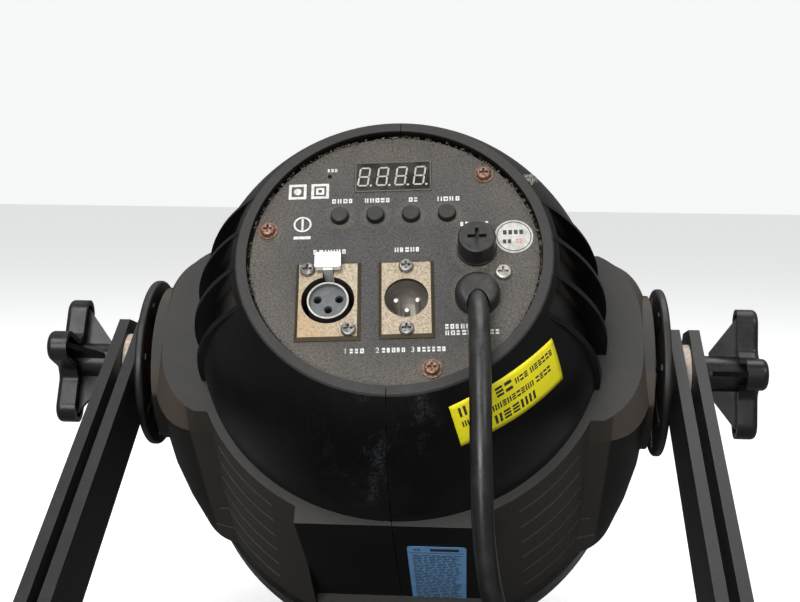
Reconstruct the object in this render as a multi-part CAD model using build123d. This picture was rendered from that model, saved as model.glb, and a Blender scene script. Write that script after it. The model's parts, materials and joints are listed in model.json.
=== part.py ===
from build123d import *
import math
import os

# Par can stage light. The head is drawn upright about its own axis first: origin at the middle of the
# rear rim, +Z out of the rear panel, X along the tilt axis. At the end everything is tipped onto its
# resting pose: the front ring's lower edge and the outer bracket's crossbar stand on the floor, Z = 0.

# ---- driving dimensions, millimetres ----
RIM_R = 60.0                # rear rim, outside
RIM_LIP = 3.6               # flat width of the rim
PANEL_RECESS = 3.6          # rim face down to the panel face
PANEL_T = 2.0
PANEL_GAP = 1.1             # dusty gap round the panel
SEAT_T = 2.5                # ledge that the panel is screwed to
SEAT_W = 8.0
SHOULDER_R = 84.2           # foot of the dome
SHOULDER_Z = -65.3
LEDGE_R = 87.8              # outside of the flat ledge below the dome
FLARE = 0.125               # how much the lower wall opens per millimetre of depth
SKIRT_Z = -163.0            # lower end of the two shells
WALL = 2.6
SEAM = 0.3                  # gap between the two shells
FLAT_Y = 86.0               # front and rear flats
FLAT_HALF = 38.5
FOOT_T = 3.0                # shelf that closes the foot of each flat
RING_R = 102.0
RING_TOP = -163.4
RING_END = -184.0
PIVOT_Z = -99.2
BOSS_X = 106.3              # flat pad round the pivot
PAD_R = 33.8
DISC_R = 36.8
DISC_T = 3.5
BAR_T = 4.73                # yoke bar section
BAR_H = 29.7
GAP = 0.3                   # clear gap between pieces that turn past each other
FIBRE_T = 3.3               # fibre washers between the bars
FIBRE_R = 12.5
BOLT_R = 4.0
RUN = 0.06                  # radial running clearance on the pivot bolts
YOKE_REACH = 223.0          # pivot to the outer crossbar's outer face
YOKE_PAST = 23.0            # bar end beyond the pivot
YOKE_CUT = 11.0             # corners cut off the bar ends
YOKE_BEND = 12.0            # outer bend radius
YOKE_ANGLE = 23.2           # bars above the head's own -Y direction
HANG_HOLE_R = 6.25          # M12 clamp bolt hole
SIDE_HOLE_R = 4.25
SIDE_HOLE_X = 35.0
KNOB_R = 28.5
KNOB_FACE = 154.5           # outer face of the knob
KNOB_HEAD_T = 9.0
KNOB_HUB_R = 7.8
LOBE_W = 13.5
KNOB_WALL = 2.2
HEAD_PITCH = 55.6           # tip of the head's axis, from upright, at rest
PANEL_TURN = 3.0            # the panel sits slightly turned in the rim

# panel layout, in the panel's own axes
DISPLAY = (-0.3, 36.7)
DISPLAY_SIZE = (30.1, 14.0)
DISPLAY_T = 7.2
BUTTON_Y = 18.3
BUTTON_PITCH = 13.9
BUTTON_R = 3.4
BUTTON_TRAVEL = 0.5
BUTTON_UP = 2.6
MIC = (-25.4, 37.6)
FUSE = (31.5, 1.8)
FUSE_CAP_R = 7.2
FUSE_CAP_H = 8.2
FUSE_BORE_R = 4.0
GLAND = (31.0, -18.9)
GLAND_R = 8.4
BOOT_H = 6.5                # the gland's boot above the panel
BOOT_ROUND = 3.4
BORE_L = 25.0
CORD_RISE = 32.0            # slope of the cord out of the boot, degrees above the panel
CORD_ROOM = 0.35            # between cord and boot
EARTH = (41.1, -9.0)
OUT_XLR = (-24.9, -19.5)
OUT_PLATE = (24.5, 33.4)
OUT_SCREW = (-7.9, 13.0)
IN_XLR = (4.5, -19.4)
IN_PLATE = (20.8, 33.0)
IN_SCREW = (0.0, 13.4)
PLATE_T = 1.7
XLR_WELL_R = 10.0           # outer groove of the socket
XLR_SHELL_R = 7.85
XLR_IN_R = 8.25
XLR_DEPTH = 18.0
XLR_PIN_R = 1.2
SCREW_PCD_R = 50.5
SCREW_ANGLES = (45.5, 165.5, -74.5)
SCREW_HEAD_R = 2.8
SCREW_R = 1.45
WASHER_R = 3.7
WASHER_T = 0.7

BOARD_TOP = -16.0           # control board
BOARD_T = 1.6
LED_RINGS = ((6, 33.0), (12, 66.0))
LED_LENS_R = 15.5

CORD_R = 3.95
# the cord's route in the resting pose, from the gland down to the floor and into the coil
CORD_ROUTE = (
    (32.7, -69.7, 166.1),
    (33.2, -82.8, 155.3),
    (33.7, -92.9, 140.4),
    (34.2, -99.0, 122.4),
    (34.9, -101.0, 103.4),
    (36.4, -101.0, 84.5),
    (40.3, -98.8, 66.0),
    (47.0, -93.8, 47.5),
    (55.0, -84.5, 30.0),
    (63.0, -71.5, 15.5),
    (68.5, -54.5, 7.2),
    (69.5, -35.0, 3.95),
    (63.5, -16.0, 3.95),
    (50.0, -1.5, 3.95),
    (30.5, 6.0, 3.95),
    (12.0, 7.6, 3.95),
    (-6.5, 6.4, 3.95),
)
TAIL_ROUTE = (
    (-47.5, -1.5, 11.85),
    (-64.3, -10.4, 11.2),
    (-77.7, -23.8, 10.3),
    (-86.3, -40.7, 10.0),
)
COIL_CENTRE = (-20.0, -48.0)
COIL_IN_ANGLE = 95.0        # where the cord joins the coil
COIL_OUT_ANGLE = 100.0      # where it leaves for the plug, four turns later
COIL_WIDE_R = 51.6          # outer turns; the inner turns lie one diameter inside
PLUG_X = -89.0
PLUG_START_Y = -59.5        # thin end of the plug's strain relief
RELIEF_L = 20.0
PLUG_BODY = (26.0, 28.0, 20.4)
PLUG_ROUND = 7.0
PLUG_SHOULDER = 4.0
RELIEF_R = 7.0
BLADE_L = 17.0
BLADE_GAP = 12.7
BLADE_T = 1.5
BLADE_W = 6.2
EARTH_PIN_R = 2.4
EARTH_PIN_UP = 5.5

nodes = {}
panel_z = -PANEL_RECESS
panel_back = panel_z - PANEL_T
cord_d = 2 * CORD_R


def turned(profile):
    """Solid of revolution about Z from (radius, height) corners."""
    return revolve(Plane.XZ * make_face(Polyline(*profile, close=True)), Axis.Z)


def block(x0, x1, y0, y1, z0, z1):
    """Box between two corners."""
    middle = Pos((x0 + x1) / 2, (y0 + y1) / 2, (z0 + z1) / 2)
    return middle * Box(x1 - x0, y1 - y0, z1 - z0)


def post(x, y, z0, z1, radius):
    """Upright round bar."""
    return Pos(x, y, (z0 + z1) / 2) * Cylinder(radius, z1 - z0)


def axle(x0, x1, radius, y=0.0, z=PIVOT_Z):
    """Round bar along X, on the pivot axis unless told otherwise."""
    return Pos((x0 + x1) / 2, y, z) * Rot(Y=90) * Cylinder(radius, x1 - x0)


def soften(part, edges, radius):
    """Fillet of the given edges."""
    return fillet(edges, radius)


def both(make, *args):
    """The right-hand piece and its mirror image."""
    right = make(*args)
    return right, mirror(right, Plane.YZ)


def on_panel(x, y):
    """A point of the panel layout in the head's axes."""
    a = math.radians(PANEL_TURN)
    return x * math.cos(a) - y * math.sin(a), x * math.sin(a) + y * math.cos(a)


def set_in(part, x=0.0, y=0.0):
    """Moves a piece drawn at the origin to its place in the panel layout."""
    return Rot(Z=PANEL_TURN) * Pos(x, y, 0) * part


# ---- housing shells ----
# dome: an arc that is upright where it meets the ledge
arc_cx = (SHOULDER_R**2 - RIM_R**2 - SHOULDER_Z**2) / (2 * (SHOULDER_R - RIM_R))
arc_r = SHOULDER_R - arc_cx
rim_in = RIM_R - RIM_LIP
seat_z = panel_back - 0.3
seat_low = seat_z - SEAT_T
FIN_Y = (-24.3, -8.1, 8.1, 24.3)
FIN_T = 2.0
FIN_PROUD = 2.0
BAY_DEPTH = 6.0


def dome_radius(z, inset=0.0):
    """Radius of the dome's surface, moved inwards by inset, at height z."""
    return arc_cx + math.sqrt((arc_r - inset) ** 2 - (z - SHOULDER_Z) ** 2)


def dome_solid(inset, top):
    """The dome as a solid of revolution, moved inwards by inset, from the ledge up to top."""
    middle = (top + SHOULDER_Z) / 2
    arc = ThreePointArc(
        (dome_radius(top, inset), top),
        (dome_radius(middle, inset), middle),
        (dome_radius(SHOULDER_Z, inset), SHOULDER_Z),
    )
    rest = Polyline((dome_radius(SHOULDER_Z, inset), SHOULDER_Z), (0, SHOULDER_Z), (0, top),
                    (dome_radius(top, inset), top))
    return revolve(Plane.XZ * make_face(arc + rest), Axis.Z)


def fin_envelope():
    """Outside of the fins: flush with the rim, then FIN_PROUD beyond the dome."""
    middle = SHOULDER_Z / 2
    low_r = SHOULDER_R + FIN_PROUD
    arc = ThreePointArc((RIM_R, 0), (dome_radius(middle) + FIN_PROUD, middle), (low_r, SHOULDER_Z))
    rest = Polyline((low_r, SHOULDER_Z), (0, SHOULDER_Z), (0, 0), (RIM_R, 0))
    return revolve(Plane.XZ * make_face(arc + rest), Axis.Z)


def skirt_radius(z):
    """Radius of the louvred lower wall at height z."""
    return LEDGE_R + FLARE * (SHOULDER_Z - z)


# side block that carries the pivot: half outlines (x, y) at falling heights
BLOCK_SECTIONS = (
    (SHOULDER_Z, ((84.0, 39.0), (94.5, 30.0), (100.0, 18.0), (101.5, 0.0))),
    (-77.0, ((84.0, 43.0), (100.0, 35.0), (105.2, 21.0), (106.0, 0.0))),
    (-118.0, ((82.0, 51.0), (100.5, 42.0), (105.4, 24.0), (106.0, 0.0))),
    (-140.0, ((80.0, 56.0), (98.0, 47.0), (103.4, 27.0), (104.3, 0.0))),
    (SKIRT_Z, ((76.0, 63.0), (91.5, 55.0), (100.4, 32.0), (103.2, 0.0))),
)
BLOCK_ROOT = 55.0


def side_block(inset, top_drop):
    """Right-hand block lofted through its outlines, moved inwards by inset."""
    faces = []
    for k, (z, half) in enumerate(BLOCK_SECTIONS):
        z = z - top_drop if k == 0 else z
        outer = [(x - inset, y - inset) for x, y in half[:-1]] + [(half[-1][0] - inset, 0.0)]
        points = [(x, -y) for x, y in outer] + [(x, y) for x, y in reversed(outer[:-1])]
        curve = Spline(*points)
        close = Polyline(points[-1], (BLOCK_ROOT, points[-1][1]), (BLOCK_ROOT, points[0][1]), points[0])
        faces.append(Pos(0, 0, z) * make_face(curve + close))
    return loft(faces, ruled=True)


def bay_box(half_y, z0, z1):
    """Region of the right-hand fins."""
    return block(30, 110, -half_y, half_y, z0, z1)


def slot_ring(z, height, start, sweep):
    """One curved slot cutter through the wall."""
    face = Plane.XZ * make_face(Polyline((75, z - height / 2), (110, z - height / 2),
                                         (110, z + height / 2), (75, z + height / 2), close=True))
    return Rot(Z=start) * revolve(face, Axis.Z, sweep)


SLOT_Z = -78.0
SLOT_PITCH = 14.5
SLOT_COUNT = 6
SLOT_H = 2.0
SLOT_START = 33.0
SLOT_SWEEP = 23.0
VENT = (8.0, 17.0)          # width and height of a vent between the fins
VENT_Z = -50.0


def housing():
    """Both shells in one piece, before the seam is cut."""
    skirt = turned([(0, SHOULDER_Z), (LEDGE_R, SHOULDER_Z), (skirt_radius(SKIRT_Z), SKIRT_Z), (0, SKIRT_Z)])
    outer = dome_solid(0, 0) + skirt
    pads = block(-FLAT_HALF, FLAT_HALF, -FLAT_Y, FLAT_Y, SKIRT_Z, SHOULDER_Z)
    beyond = block(-FLAT_HALF, FLAT_HALF, FLAT_Y, 130, SKIRT_Z + FOOT_T, SHOULDER_Z)
    outer = outer + pads - beyond - mirror(beyond, Plane.XZ)
    right, left = both(side_block, 0, 0)
    outer = outer + right + left

    pad, pad_left = both(axle, 90, BOSS_X, PAD_R)
    outer = outer + pad + pad_left

    low_r = skirt_radius(SHOULDER_Z) - WALL
    cavity = dome_solid(WALL, seat_low) + turned(
        [(0, SHOULDER_Z), (dome_radius(SHOULDER_Z, WALL), SHOULDER_Z), (low_r, SHOULDER_Z - WALL),
         (skirt_radius(SKIRT_Z) - WALL, SKIRT_Z), (0, SKIRT_Z)])
    inner_y = FLAT_Y - WALL
    inside = block(-FLAT_HALF - WALL, FLAT_HALF + WALL, inner_y, 130, SKIRT_Z, SHOULDER_Z)
    cavity = cavity - inside - mirror(inside, Plane.XZ)
    hollow, hollow_left = both(side_block, WALL + 1.2, WALL)
    cavity = cavity + hollow + hollow_left

    bays = bay_box(FIN_Y[-1], SHOULDER_Z, -3.4) - dome_solid(BAY_DEPTH, 0)
    backs = bay_box(FIN_Y[-1] + WALL, SHOULDER_Z, -3.4) - dome_solid(BAY_DEPTH + WALL, 0)
    cavity = cavity - backs - mirror(backs, Plane.YZ)
    shell = outer - bays - mirror(bays, Plane.YZ) - cavity

    proud = fin_envelope() - dome_solid(BAY_DEPTH + WALL / 2, 0)
    for y in FIN_Y:
        fin = proud & block(30, 110, y - FIN_T / 2, y + FIN_T / 2, SHOULDER_Z, 0)
        shell = shell + fin + mirror(fin, Plane.YZ)

    vent_reach = 90
    for y in (-16.2, 0.0, 16.2):
        oval = Plane.YZ * Pos(y, VENT_Z) * SlotOverall(VENT[1], VENT[0], rotation=90)
        shell = shell - extrude(oval, vent_reach) - extrude(oval, -vent_reach)

    shell = shell - post(0, 0, panel_back - 0.3, 1, rim_in) - post(0, 0, seat_low - 1, 1, rim_in - SEAT_W)
    for k in range(SLOT_COUNT):
        for start in (SLOT_START, 90 + 90 - SLOT_START - SLOT_SWEEP,
                      180 + SLOT_START, 360 - SLOT_START - SLOT_SWEEP):
            shell = shell - slot_ring(SLOT_Z - k * SLOT_PITCH, SLOT_H, start, SLOT_SWEEP)
    for a in SCREW_ANGLES:
        angle = math.radians(a + PANEL_TURN)
        shell = shell - post(SCREW_PCD_R * math.cos(angle), SCREW_PCD_R * math.sin(angle),
                             seat_low - 1, seat_z + 1, SCREW_R + 0.05)
    shell = shell - axle(-110, 110, BOLT_R + RUN)
    return shell


shell = housing()
nodes["housing_right"] = shell & block(SEAM / 2, 200, -200, 200, -200, 10)
nodes["housing_left"] = shell & block(-200, -SEAM / 2, -200, 200, -200, 10)

# ---- rear panel and what is screwed to it ----
panel_r = rim_in - PANEL_GAP
PANEL_FIT = 0.2
button_x = [(k - 1.5) * BUTTON_PITCH + DISPLAY[0] for k in range(4)]
well_low = panel_z - XLR_DEPTH

panel = post(0, 0, panel_back, panel_z, panel_r)
panel = panel - block(DISPLAY[0] - DISPLAY_SIZE[0] / 2 - PANEL_FIT, DISPLAY[0] + DISPLAY_SIZE[0] / 2 + PANEL_FIT,
                      DISPLAY[1] - DISPLAY_SIZE[1] / 2 - PANEL_FIT, DISPLAY[1] + DISPLAY_SIZE[1] / 2 + PANEL_FIT,
                      panel_back - 1, panel_z + 1)
for x in button_x:
    panel = panel - post(x, BUTTON_Y, panel_back - 1, panel_z + 1, BUTTON_R + PANEL_FIT)
panel = panel - post(MIC[0], MIC[1], panel_back - 1, panel_z + 1, 0.9)
FUSE_BODY_R = 6.0
panel = panel - post(FUSE[0], FUSE[1], panel_back - 1, panel_z + 1, FUSE_BODY_R + PANEL_FIT)
GLAND_NECK_R = 6.3
panel = panel - post(GLAND[0], GLAND[1], panel_back - 1, panel_z + 1, GLAND_NECK_R + PANEL_FIT)
panel = panel - post(OUT_XLR[0], OUT_XLR[1], panel_back - 1, panel_z + 1, XLR_WELL_R + 1.4 + PANEL_FIT)
panel = panel - post(IN_XLR[0], IN_XLR[1], panel_back - 1, panel_z + 1, XLR_IN_R + 1.2 + PANEL_FIT)
LATCH_ARM_W = 3.6
LATCH_Y = OUT_XLR[1] + OUT_PLATE[1] / 2 - 2.1
latch_slot_y0 = OUT_XLR[1] + 8.0
latch_slot_y1 = OUT_XLR[1] + 14.4
panel = panel - block(OUT_XLR[0] - LATCH_ARM_W / 2 - GAP, OUT_XLR[0] + LATCH_ARM_W / 2 + GAP,
                      latch_slot_y0, latch_slot_y1, panel_back - 1, panel_z + 1)
screw_spots = [(SCREW_PCD_R * math.cos(math.radians(a)), SCREW_PCD_R * math.sin(math.radians(a)))
               for a in SCREW_ANGLES]
plate_screws_out = [(OUT_XLR[0] + s * OUT_SCREW[0], OUT_XLR[1] + s * OUT_SCREW[1]) for s in (1, -1)]
plate_screws_in = [(IN_XLR[0] + s * IN_SCREW[0], IN_XLR[1] + s * IN_SCREW[1]) for s in (1, -1)]
for x, y in screw_spots + [EARTH] + plate_screws_out + plate_screws_in:
    panel = panel - post(x, y, panel_back - 1, panel_z + 1, SCREW_R + 0.05)
nodes["rear_panel"] = set_in(panel)


def pan_screw(x, y, seat, length, head_r=SCREW_HEAD_R, head_h=1.7):
    """Pan-head screw with a cross recess; its head sits on height seat."""
    head = soften_top(post(x, y, seat, seat + head_h, head_r), head_h * 0.55)
    shank = post(x, y, seat - length, seat, SCREW_R)
    bar = 0.9
    reach = head_r * 0.62
    cross_low = seat + head_h * 0.15
    cross = block(x - reach, x + reach, y - bar / 2, y + bar / 2, cross_low, seat + head_h + 1)
    cross = cross + block(x - bar / 2, x + bar / 2, y - reach, y + reach, cross_low, seat + head_h + 1)
    return head + shank - cross


def soften_top(part, radius):
    """Rounds the edges of the highest face."""
    return fillet(part.faces().sort_by(Axis.Z)[-1].edges(), radius)


screw_low = SCREW_R + 0.25
nodes["panel_screws"] = set_in(Compound([pan_screw(x, y, panel_z + WASHER_T, 6.6) for x, y in screw_spots]))
nodes["panel_washers"] = set_in(Compound([
    post(x, y, panel_z, panel_z + WASHER_T, WASHER_R) - post(x, y, panel_z - 1, panel_z + 2, screw_low)
    for x, y in screw_spots]))
nodes["earth_screw"] = set_in(pan_screw(EARTH[0], EARTH[1], panel_z, 8.0, head_r=3.2))

# ---- display, buttons, microphone, control board ----
display = block(DISPLAY[0] - DISPLAY_SIZE[0] / 2, DISPLAY[0] + DISPLAY_SIZE[0] / 2,
                DISPLAY[1] - DISPLAY_SIZE[1] / 2, DISPLAY[1] + DISPLAY_SIZE[1] / 2,
                panel_z + 0.3 - DISPLAY_T, panel_z + 0.3)
for k in range(6):
    for side in (-1, 1):
        display = display + post(DISPLAY[0] + (k - 2.5) * 2.54, DISPLAY[1] + side * 5.0, BOARD_TOP,
                                 panel_z + 0.4 - DISPLAY_T, 0.3)
nodes["display_module"] = set_in(display)

SWITCH_H = 3.4
switch_top = BOARD_TOP + SWITCH_H
plunger_top = switch_top + 1.2
button_low = plunger_top + BUTTON_TRAVEL + 0.1
FLANGE_T = 1.0
for name, x in zip(("mode", "setup", "up", "down"), button_x):
    cap = soften_top(post(x, BUTTON_Y, panel_z - 4.0, panel_z + BUTTON_UP, BUTTON_R), 0.6)
    flange = post(x, BUTTON_Y, panel_back - GAP - FLANGE_T, panel_back - GAP, BUTTON_R + 0.9)
    stem = post(x, BUTTON_Y, button_low, panel_z - 4.0, 2.0)
    nodes["button_" + name] = set_in(cap + flange + stem)
nodes["button_switches"] = set_in(Compound([
    block(x - 3, x + 3, BUTTON_Y - 3, BUTTON_Y + 3, BOARD_TOP, switch_top)
    + post(x, BUTTON_Y, switch_top, plunger_top, 1.7) for x in button_x]))
board = block(-32, 32, 11, 46, BOARD_TOP - BOARD_T, BOARD_TOP) & post(0, 0, BOARD_TOP - 3, BOARD_TOP, 50)
nodes["control_board"] = set_in(board)
mic = post(MIC[0], MIC[1], panel_back - 5.6, panel_back - 0.5, 3.0)
for side in (-1, 1):
    mic = mic + post(MIC[0] + side * 1.27, MIC[1], BOARD_TOP, panel_back - 5.5, 0.3)
nodes["microphone"] = set_in(mic)

# ---- fuse holder ----
fuse_low = panel_back - 26.0
collar_top = panel_z + 1.2
holder = (post(*FUSE, collar_top - 1.2, collar_top, FUSE_CAP_R + 0.5)
          + post(*FUSE, fuse_low, panel_z, FUSE_BODY_R)
          + post(*FUSE, panel_back - 4.2, panel_back, FUSE_BODY_R + 2.6)
          - post(*FUSE, fuse_low + 2.0, collar_top + 1, FUSE_BORE_R))
nodes["fuse_holder"] = set_in(holder)
cap_low = collar_top + GAP
cap_top = cap_low + FUSE_CAP_H
cap = soften_top(post(*FUSE, cap_low, cap_top, FUSE_CAP_R), 0.9) + post(*FUSE, cap_low - 7, cap_low, FUSE_BORE_R - 0.1)
slot_w = 1.5
slot_l = 7.2
slot_d = 2.2
cap = cap - block(FUSE[0] - slot_l / 2, FUSE[0] + slot_l / 2, FUSE[1] - slot_w / 2, FUSE[1] + slot_w / 2,
                  cap_top - slot_d, cap_top + 1)
cap = cap - block(FUSE[0] - slot_w / 2, FUSE[0] + slot_w / 2, FUSE[1] - slot_l / 2, FUSE[1] + slot_l / 2,
                  cap_top - slot_d, cap_top + 1)
nodes["fuse_cap"] = set_in(cap)
nodes["fuse"] = set_in(post(*FUSE, cap_low - 7 - 20, cap_low - 7, 2.6))

# ---- signal connectors ----
plate_top = panel_z + PLATE_T


def plate(centre, size):
    """Thin cover plate with bevelled edges."""
    body = block(centre[0] - size[0] / 2, centre[0] + size[0] / 2, centre[1] - size[1] / 2,
                 centre[1] + size[1] / 2, panel_z, plate_top)
    return chamfer(body.faces().sort_by(Axis.Z)[-1].edges(), PLATE_T * 0.7)


def pin_spots(centre, drop=0.0):
    """Places of the three contacts."""
    return [(centre[0] + dx, centre[1] + dy - drop) for dx, dy in ((-4.1, 1.9), (4.1, 1.9), (0.0, -2.4))]


out_plate = plate(OUT_XLR, OUT_PLATE) - post(*OUT_XLR, panel_z - 1, plate_top + 1, XLR_WELL_R)
out_plate = out_plate - block(OUT_XLR[0] - LATCH_ARM_W / 2 - GAP, OUT_XLR[0] + LATCH_ARM_W / 2 + GAP,
                              latch_slot_y0, latch_slot_y1, panel_z - 1, plate_top + 1)
in_plate = plate(IN_XLR, IN_PLATE) - post(*IN_XLR, panel_z - 1, plate_top + 1, XLR_IN_R)
for x, y in plate_screws_out:
    out_plate = out_plate - post(x, y, panel_z - 1, plate_top + 1, SCREW_R + 0.05)
for x, y in plate_screws_in:
    in_plate = in_plate - post(x, y, panel_z - 1, plate_top + 1, SCREW_R + 0.05)
nodes["output_plate"] = set_in(out_plate)
nodes["input_plate"] = set_in(in_plate)
FLOOR_T = 2.0
well = post(*OUT_XLR, well_low - FLOOR_T, panel_z, XLR_WELL_R + 1.4) - post(*OUT_XLR, well_low, panel_z + 1, XLR_WELL_R)
well = well - block(OUT_XLR[0] - LATCH_ARM_W / 2 - GAP, OUT_XLR[0] + LATCH_ARM_W / 2 + GAP,
                    latch_slot_y0, latch_slot_y1, panel_z - 9, panel_z + 1)
nodes["output_body"] = set_in(well)
shell_in_r = XLR_SHELL_R - 0.7
nodes["output_shell"] = set_in(post(*OUT_XLR, well_low, plate_top - 0.2, XLR_SHELL_R)
                               - post(*OUT_XLR, well_low - 1, plate_top + 1, shell_in_r))
insert_top = plate_top - 2.4
insert = post(*OUT_XLR, well_low, insert_top, shell_in_r)
contact_r = 1.6
contact_low = panel_z - 15.0
out_spots = pin_spots(OUT_XLR, 0.5)
for x, y in out_spots:
    insert = insert - post(x, y, contact_low, plate_top + 1, contact_r)
nodes["output_insert"] = set_in(insert)
nodes["output_contacts"] = set_in(Compound([
    post(x, y, contact_low, insert_top - 1.0, contact_r)
    - post(x, y, contact_low + 1, plate_top + 1, XLR_PIN_R + 0.05) for x, y in out_spots]))
LATCH_W = 9.8
LATCH_TRAVEL = 1.0
latch_low = plate_top + LATCH_TRAVEL + GAP
latch = block(OUT_XLR[0] - LATCH_W / 2, OUT_XLR[0] + LATCH_W / 2, LATCH_Y - 2.4, LATCH_Y + 4.2,
              latch_low, latch_low + 2.4)
latch = fillet(latch.edges().filter_by(Axis.Z), 0.8)
latch = latch + block(OUT_XLR[0] - LATCH_ARM_W / 2, OUT_XLR[0] + LATCH_ARM_W / 2, latch_slot_y1 - 2.6,
                      latch_slot_y1 - 0.4, panel_z - 7.4, latch_low + 1)
nodes["output_latch"] = set_in(latch)
cup = (post(*IN_XLR, well_low - FLOOR_T, panel_z, XLR_IN_R + 1.2) - post(*IN_XLR, well_low, panel_z + 1, XLR_IN_R))
for x, y in pin_spots(IN_XLR):
    cup = cup - post(x, y, well_low - FLOOR_T - 1, well_low + 1, XLR_PIN_R)
nodes["input_cup"] = set_in(cup)
nodes["input_pins"] = set_in(Compound([
    soften_top(post(x, y, well_low - FLOOR_T - 4, panel_z - 3.2, XLR_PIN_R), 0.8) for x, y in pin_spots(IN_XLR)]))
nodes["output_screws"] = set_in(Compound([pan_screw(x, y, plate_top, 7.5) for x, y in plate_screws_out]))
nodes["input_screws"] = set_in(Compound([pan_screw(x, y, plate_top, 7.5) for x, y in plate_screws_in]))

# ---- cable gland: low rounded boot and lock nut; the cord leaves it slanting, towards -Y ----
cord_from = (GLAND[0], GLAND[1] - 0.2, panel_z + 1.43)  # on the cord's axis, inside the boot
bore = Rot(X=90 - CORD_RISE) * Pos(0, 0, BORE_L / 2) * Cylinder(CORD_R + CORD_ROOM, BORE_L)
boot = soften_top(post(*GLAND, panel_z, panel_z + BOOT_H, GLAND_R), BOOT_ROUND)
gland = boot + post(*GLAND, panel_back - 5.0, panel_z, GLAND_NECK_R) - Pos(*cord_from) * bore
nodes["cable_gland"] = set_in(gland)
nut_z1 = panel_back - 0.1
nut = extrude(Pos(GLAND[0], GLAND[1], nut_z1 - 4.2) * RegularPolygon(9.6, 6), 4.2)
nodes["gland_nut"] = set_in(nut - post(*GLAND, nut_z1 - 6, nut_z1 + 1, GLAND_NECK_R + 0.05))

# ---- front: ring, lens, gasket, light engine ----
SPIGOT_H = 7.0
spigot_r = skirt_radius(RING_TOP + SPIGOT_H) - WALL - 0.4
LENS_T = 3.0
lens_top = RING_END + 2.2 + LENS_T
GASKET_T = 1.6
EDGE = 2.0
ring = turned([
    (spigot_r - 2.0, RING_TOP + SPIGOT_H), (spigot_r, RING_TOP + SPIGOT_H), (spigot_r, RING_TOP),
    (RING_R - EDGE, RING_TOP),
    (RING_R, RING_TOP - EDGE), (RING_R, RING_END + EDGE), (RING_R - EDGE, RING_END), (88.5, RING_END),
    (88.5, RING_END + 2.0), (spigot_r - 2.0, RING_END + 2.0)])
# the flats at front and rear leave no room for a full spigot
for side in (-1, 1):
    y0, y1 = sorted((side * (FLAT_Y - WALL - 0.4), side * 120))
    ring = ring - block(-FLAT_HALF - WALL - 1, FLAT_HALF + WALL + 1, y0, y1, RING_TOP, RING_TOP + 10)
nodes["front_ring"] = ring
nodes["front_lens"] = post(0, 0, RING_END + 2.2, lens_top, spigot_r - 2.3)
nodes["lens_gasket"] = turned([(86.5, lens_top), (spigot_r - 2.3, lens_top), (spigot_r - 2.3, lens_top + GASKET_T),
                               (86.5, lens_top + GASKET_T)])
LED_BOARD_R = 82.0
SINK_R = 80.0
LED_BOARD_Z = -156.0
LED_BOARD_T = 1.6
SINK_T = 4.0
SINK_FIN_H = 26.0
SINK_FIN_PITCH = 10.5
SINK_FIN_R = 70.0           # the fins stop on this circle
nodes["led_board"] = post(0, 0, LED_BOARD_Z - LED_BOARD_T, LED_BOARD_Z, LED_BOARD_R)
sink_top = LED_BOARD_Z + SINK_T
sink = post(0, 0, LED_BOARD_Z, sink_top, SINK_R)
for k in range(-6, 7):
    y = k * SINK_FIN_PITCH
    half = math.sqrt(SINK_FIN_R**2 - y**2)
    sink = sink + block(-half, half, y - 1, y + 1, sink_top, sink_top + SINK_FIN_H)
nodes["heat_sink"] = sink
led_spots = [(r * math.cos(2 * math.pi * k / n), r * math.sin(2 * math.pi * k / n))
             for n, r in LED_RINGS for k in range(n)]
led_low = LED_BOARD_Z - LED_BOARD_T
nodes["led_emitters"] = Compound([block(x - 3, x + 3, y - 3, y + 3, led_low - 1.8, led_low) for x, y in led_spots])
LENS_H = 15.0
nodes["led_optics"] = Compound([
    Pos(x, y, led_low - 2.0 - LENS_H / 2) * Cone(LED_LENS_R, 7.5, LENS_H) for x, y in led_spots])
SUPPLY_Z = -96.0
nodes["supply_board"] = block(-52, 52, -36, 36, SUPPLY_Z - BOARD_T, SUPPLY_Z)
nodes["supply_transformer"] = block(-20, 12, -14, 14, SUPPLY_Z, SUPPLY_Z + 24)
nodes["supply_capacitors"] = Compound([post(30, y, SUPPLY_Z, SUPPLY_Z + 25, 8) for y in (-16, 16)]
                                      + [post(-36, y, SUPPLY_Z, SUPPLY_Z + 18, 5) for y in (-12, 12)])
POST_X = 47.0
POST_Y = 2.5 * SINK_FIN_PITCH   # midway between two fins
nodes["board_posts"] = Compound([post(x, y, sink_top, SUPPLY_Z - BOARD_T, 2.5)
                                 for x in (-POST_X, POST_X) for y in (-POST_Y, POST_Y)])

# ---- pivot stack, right-hand side, outwards along X ----
disc_out = 112.9
disc_in = disc_out - DISC_T
hub_in = BOSS_X + 1.9
inner_bar = disc_out + 2 * 0.2 + 3.2
inner_bar_out = inner_bar + BAR_T
outer_bar = inner_bar_out + FIBRE_T + 2 * GAP
outer_bar_out = outer_bar + BAR_T
hub_start = outer_bar_out + GAP
HOLE_LOOSE = 0.3


def ring_on_axis(x0, x1, radius, hole):
    """Washer on the pivot axis."""
    return axle(x0, x1, radius) - axle(x0 - 1, x1 + 1, hole)


def friction_disc():
    """Thin flange with a short hub and stiffening ribs on its inner side."""
    disc = axle(disc_in, disc_out, DISC_R)
    disc = fillet(disc.edges().filter_by(GeomType.CIRCLE), 1.2)
    disc = disc + axle(hub_in, disc_in + 1, 15.0)
    for k in range(8):
        rib = block(hub_in + 0.6, disc_in + 0.5, -1.2, 1.2, 12.0, DISC_R - 4.0)
        disc = disc + Pos(0, 0, PIVOT_Z) * Rot(X=45 * k + 22.5) * rib
    return disc - axle(hub_in - 1, disc_out + 1, BOLT_R + RUN)


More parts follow.
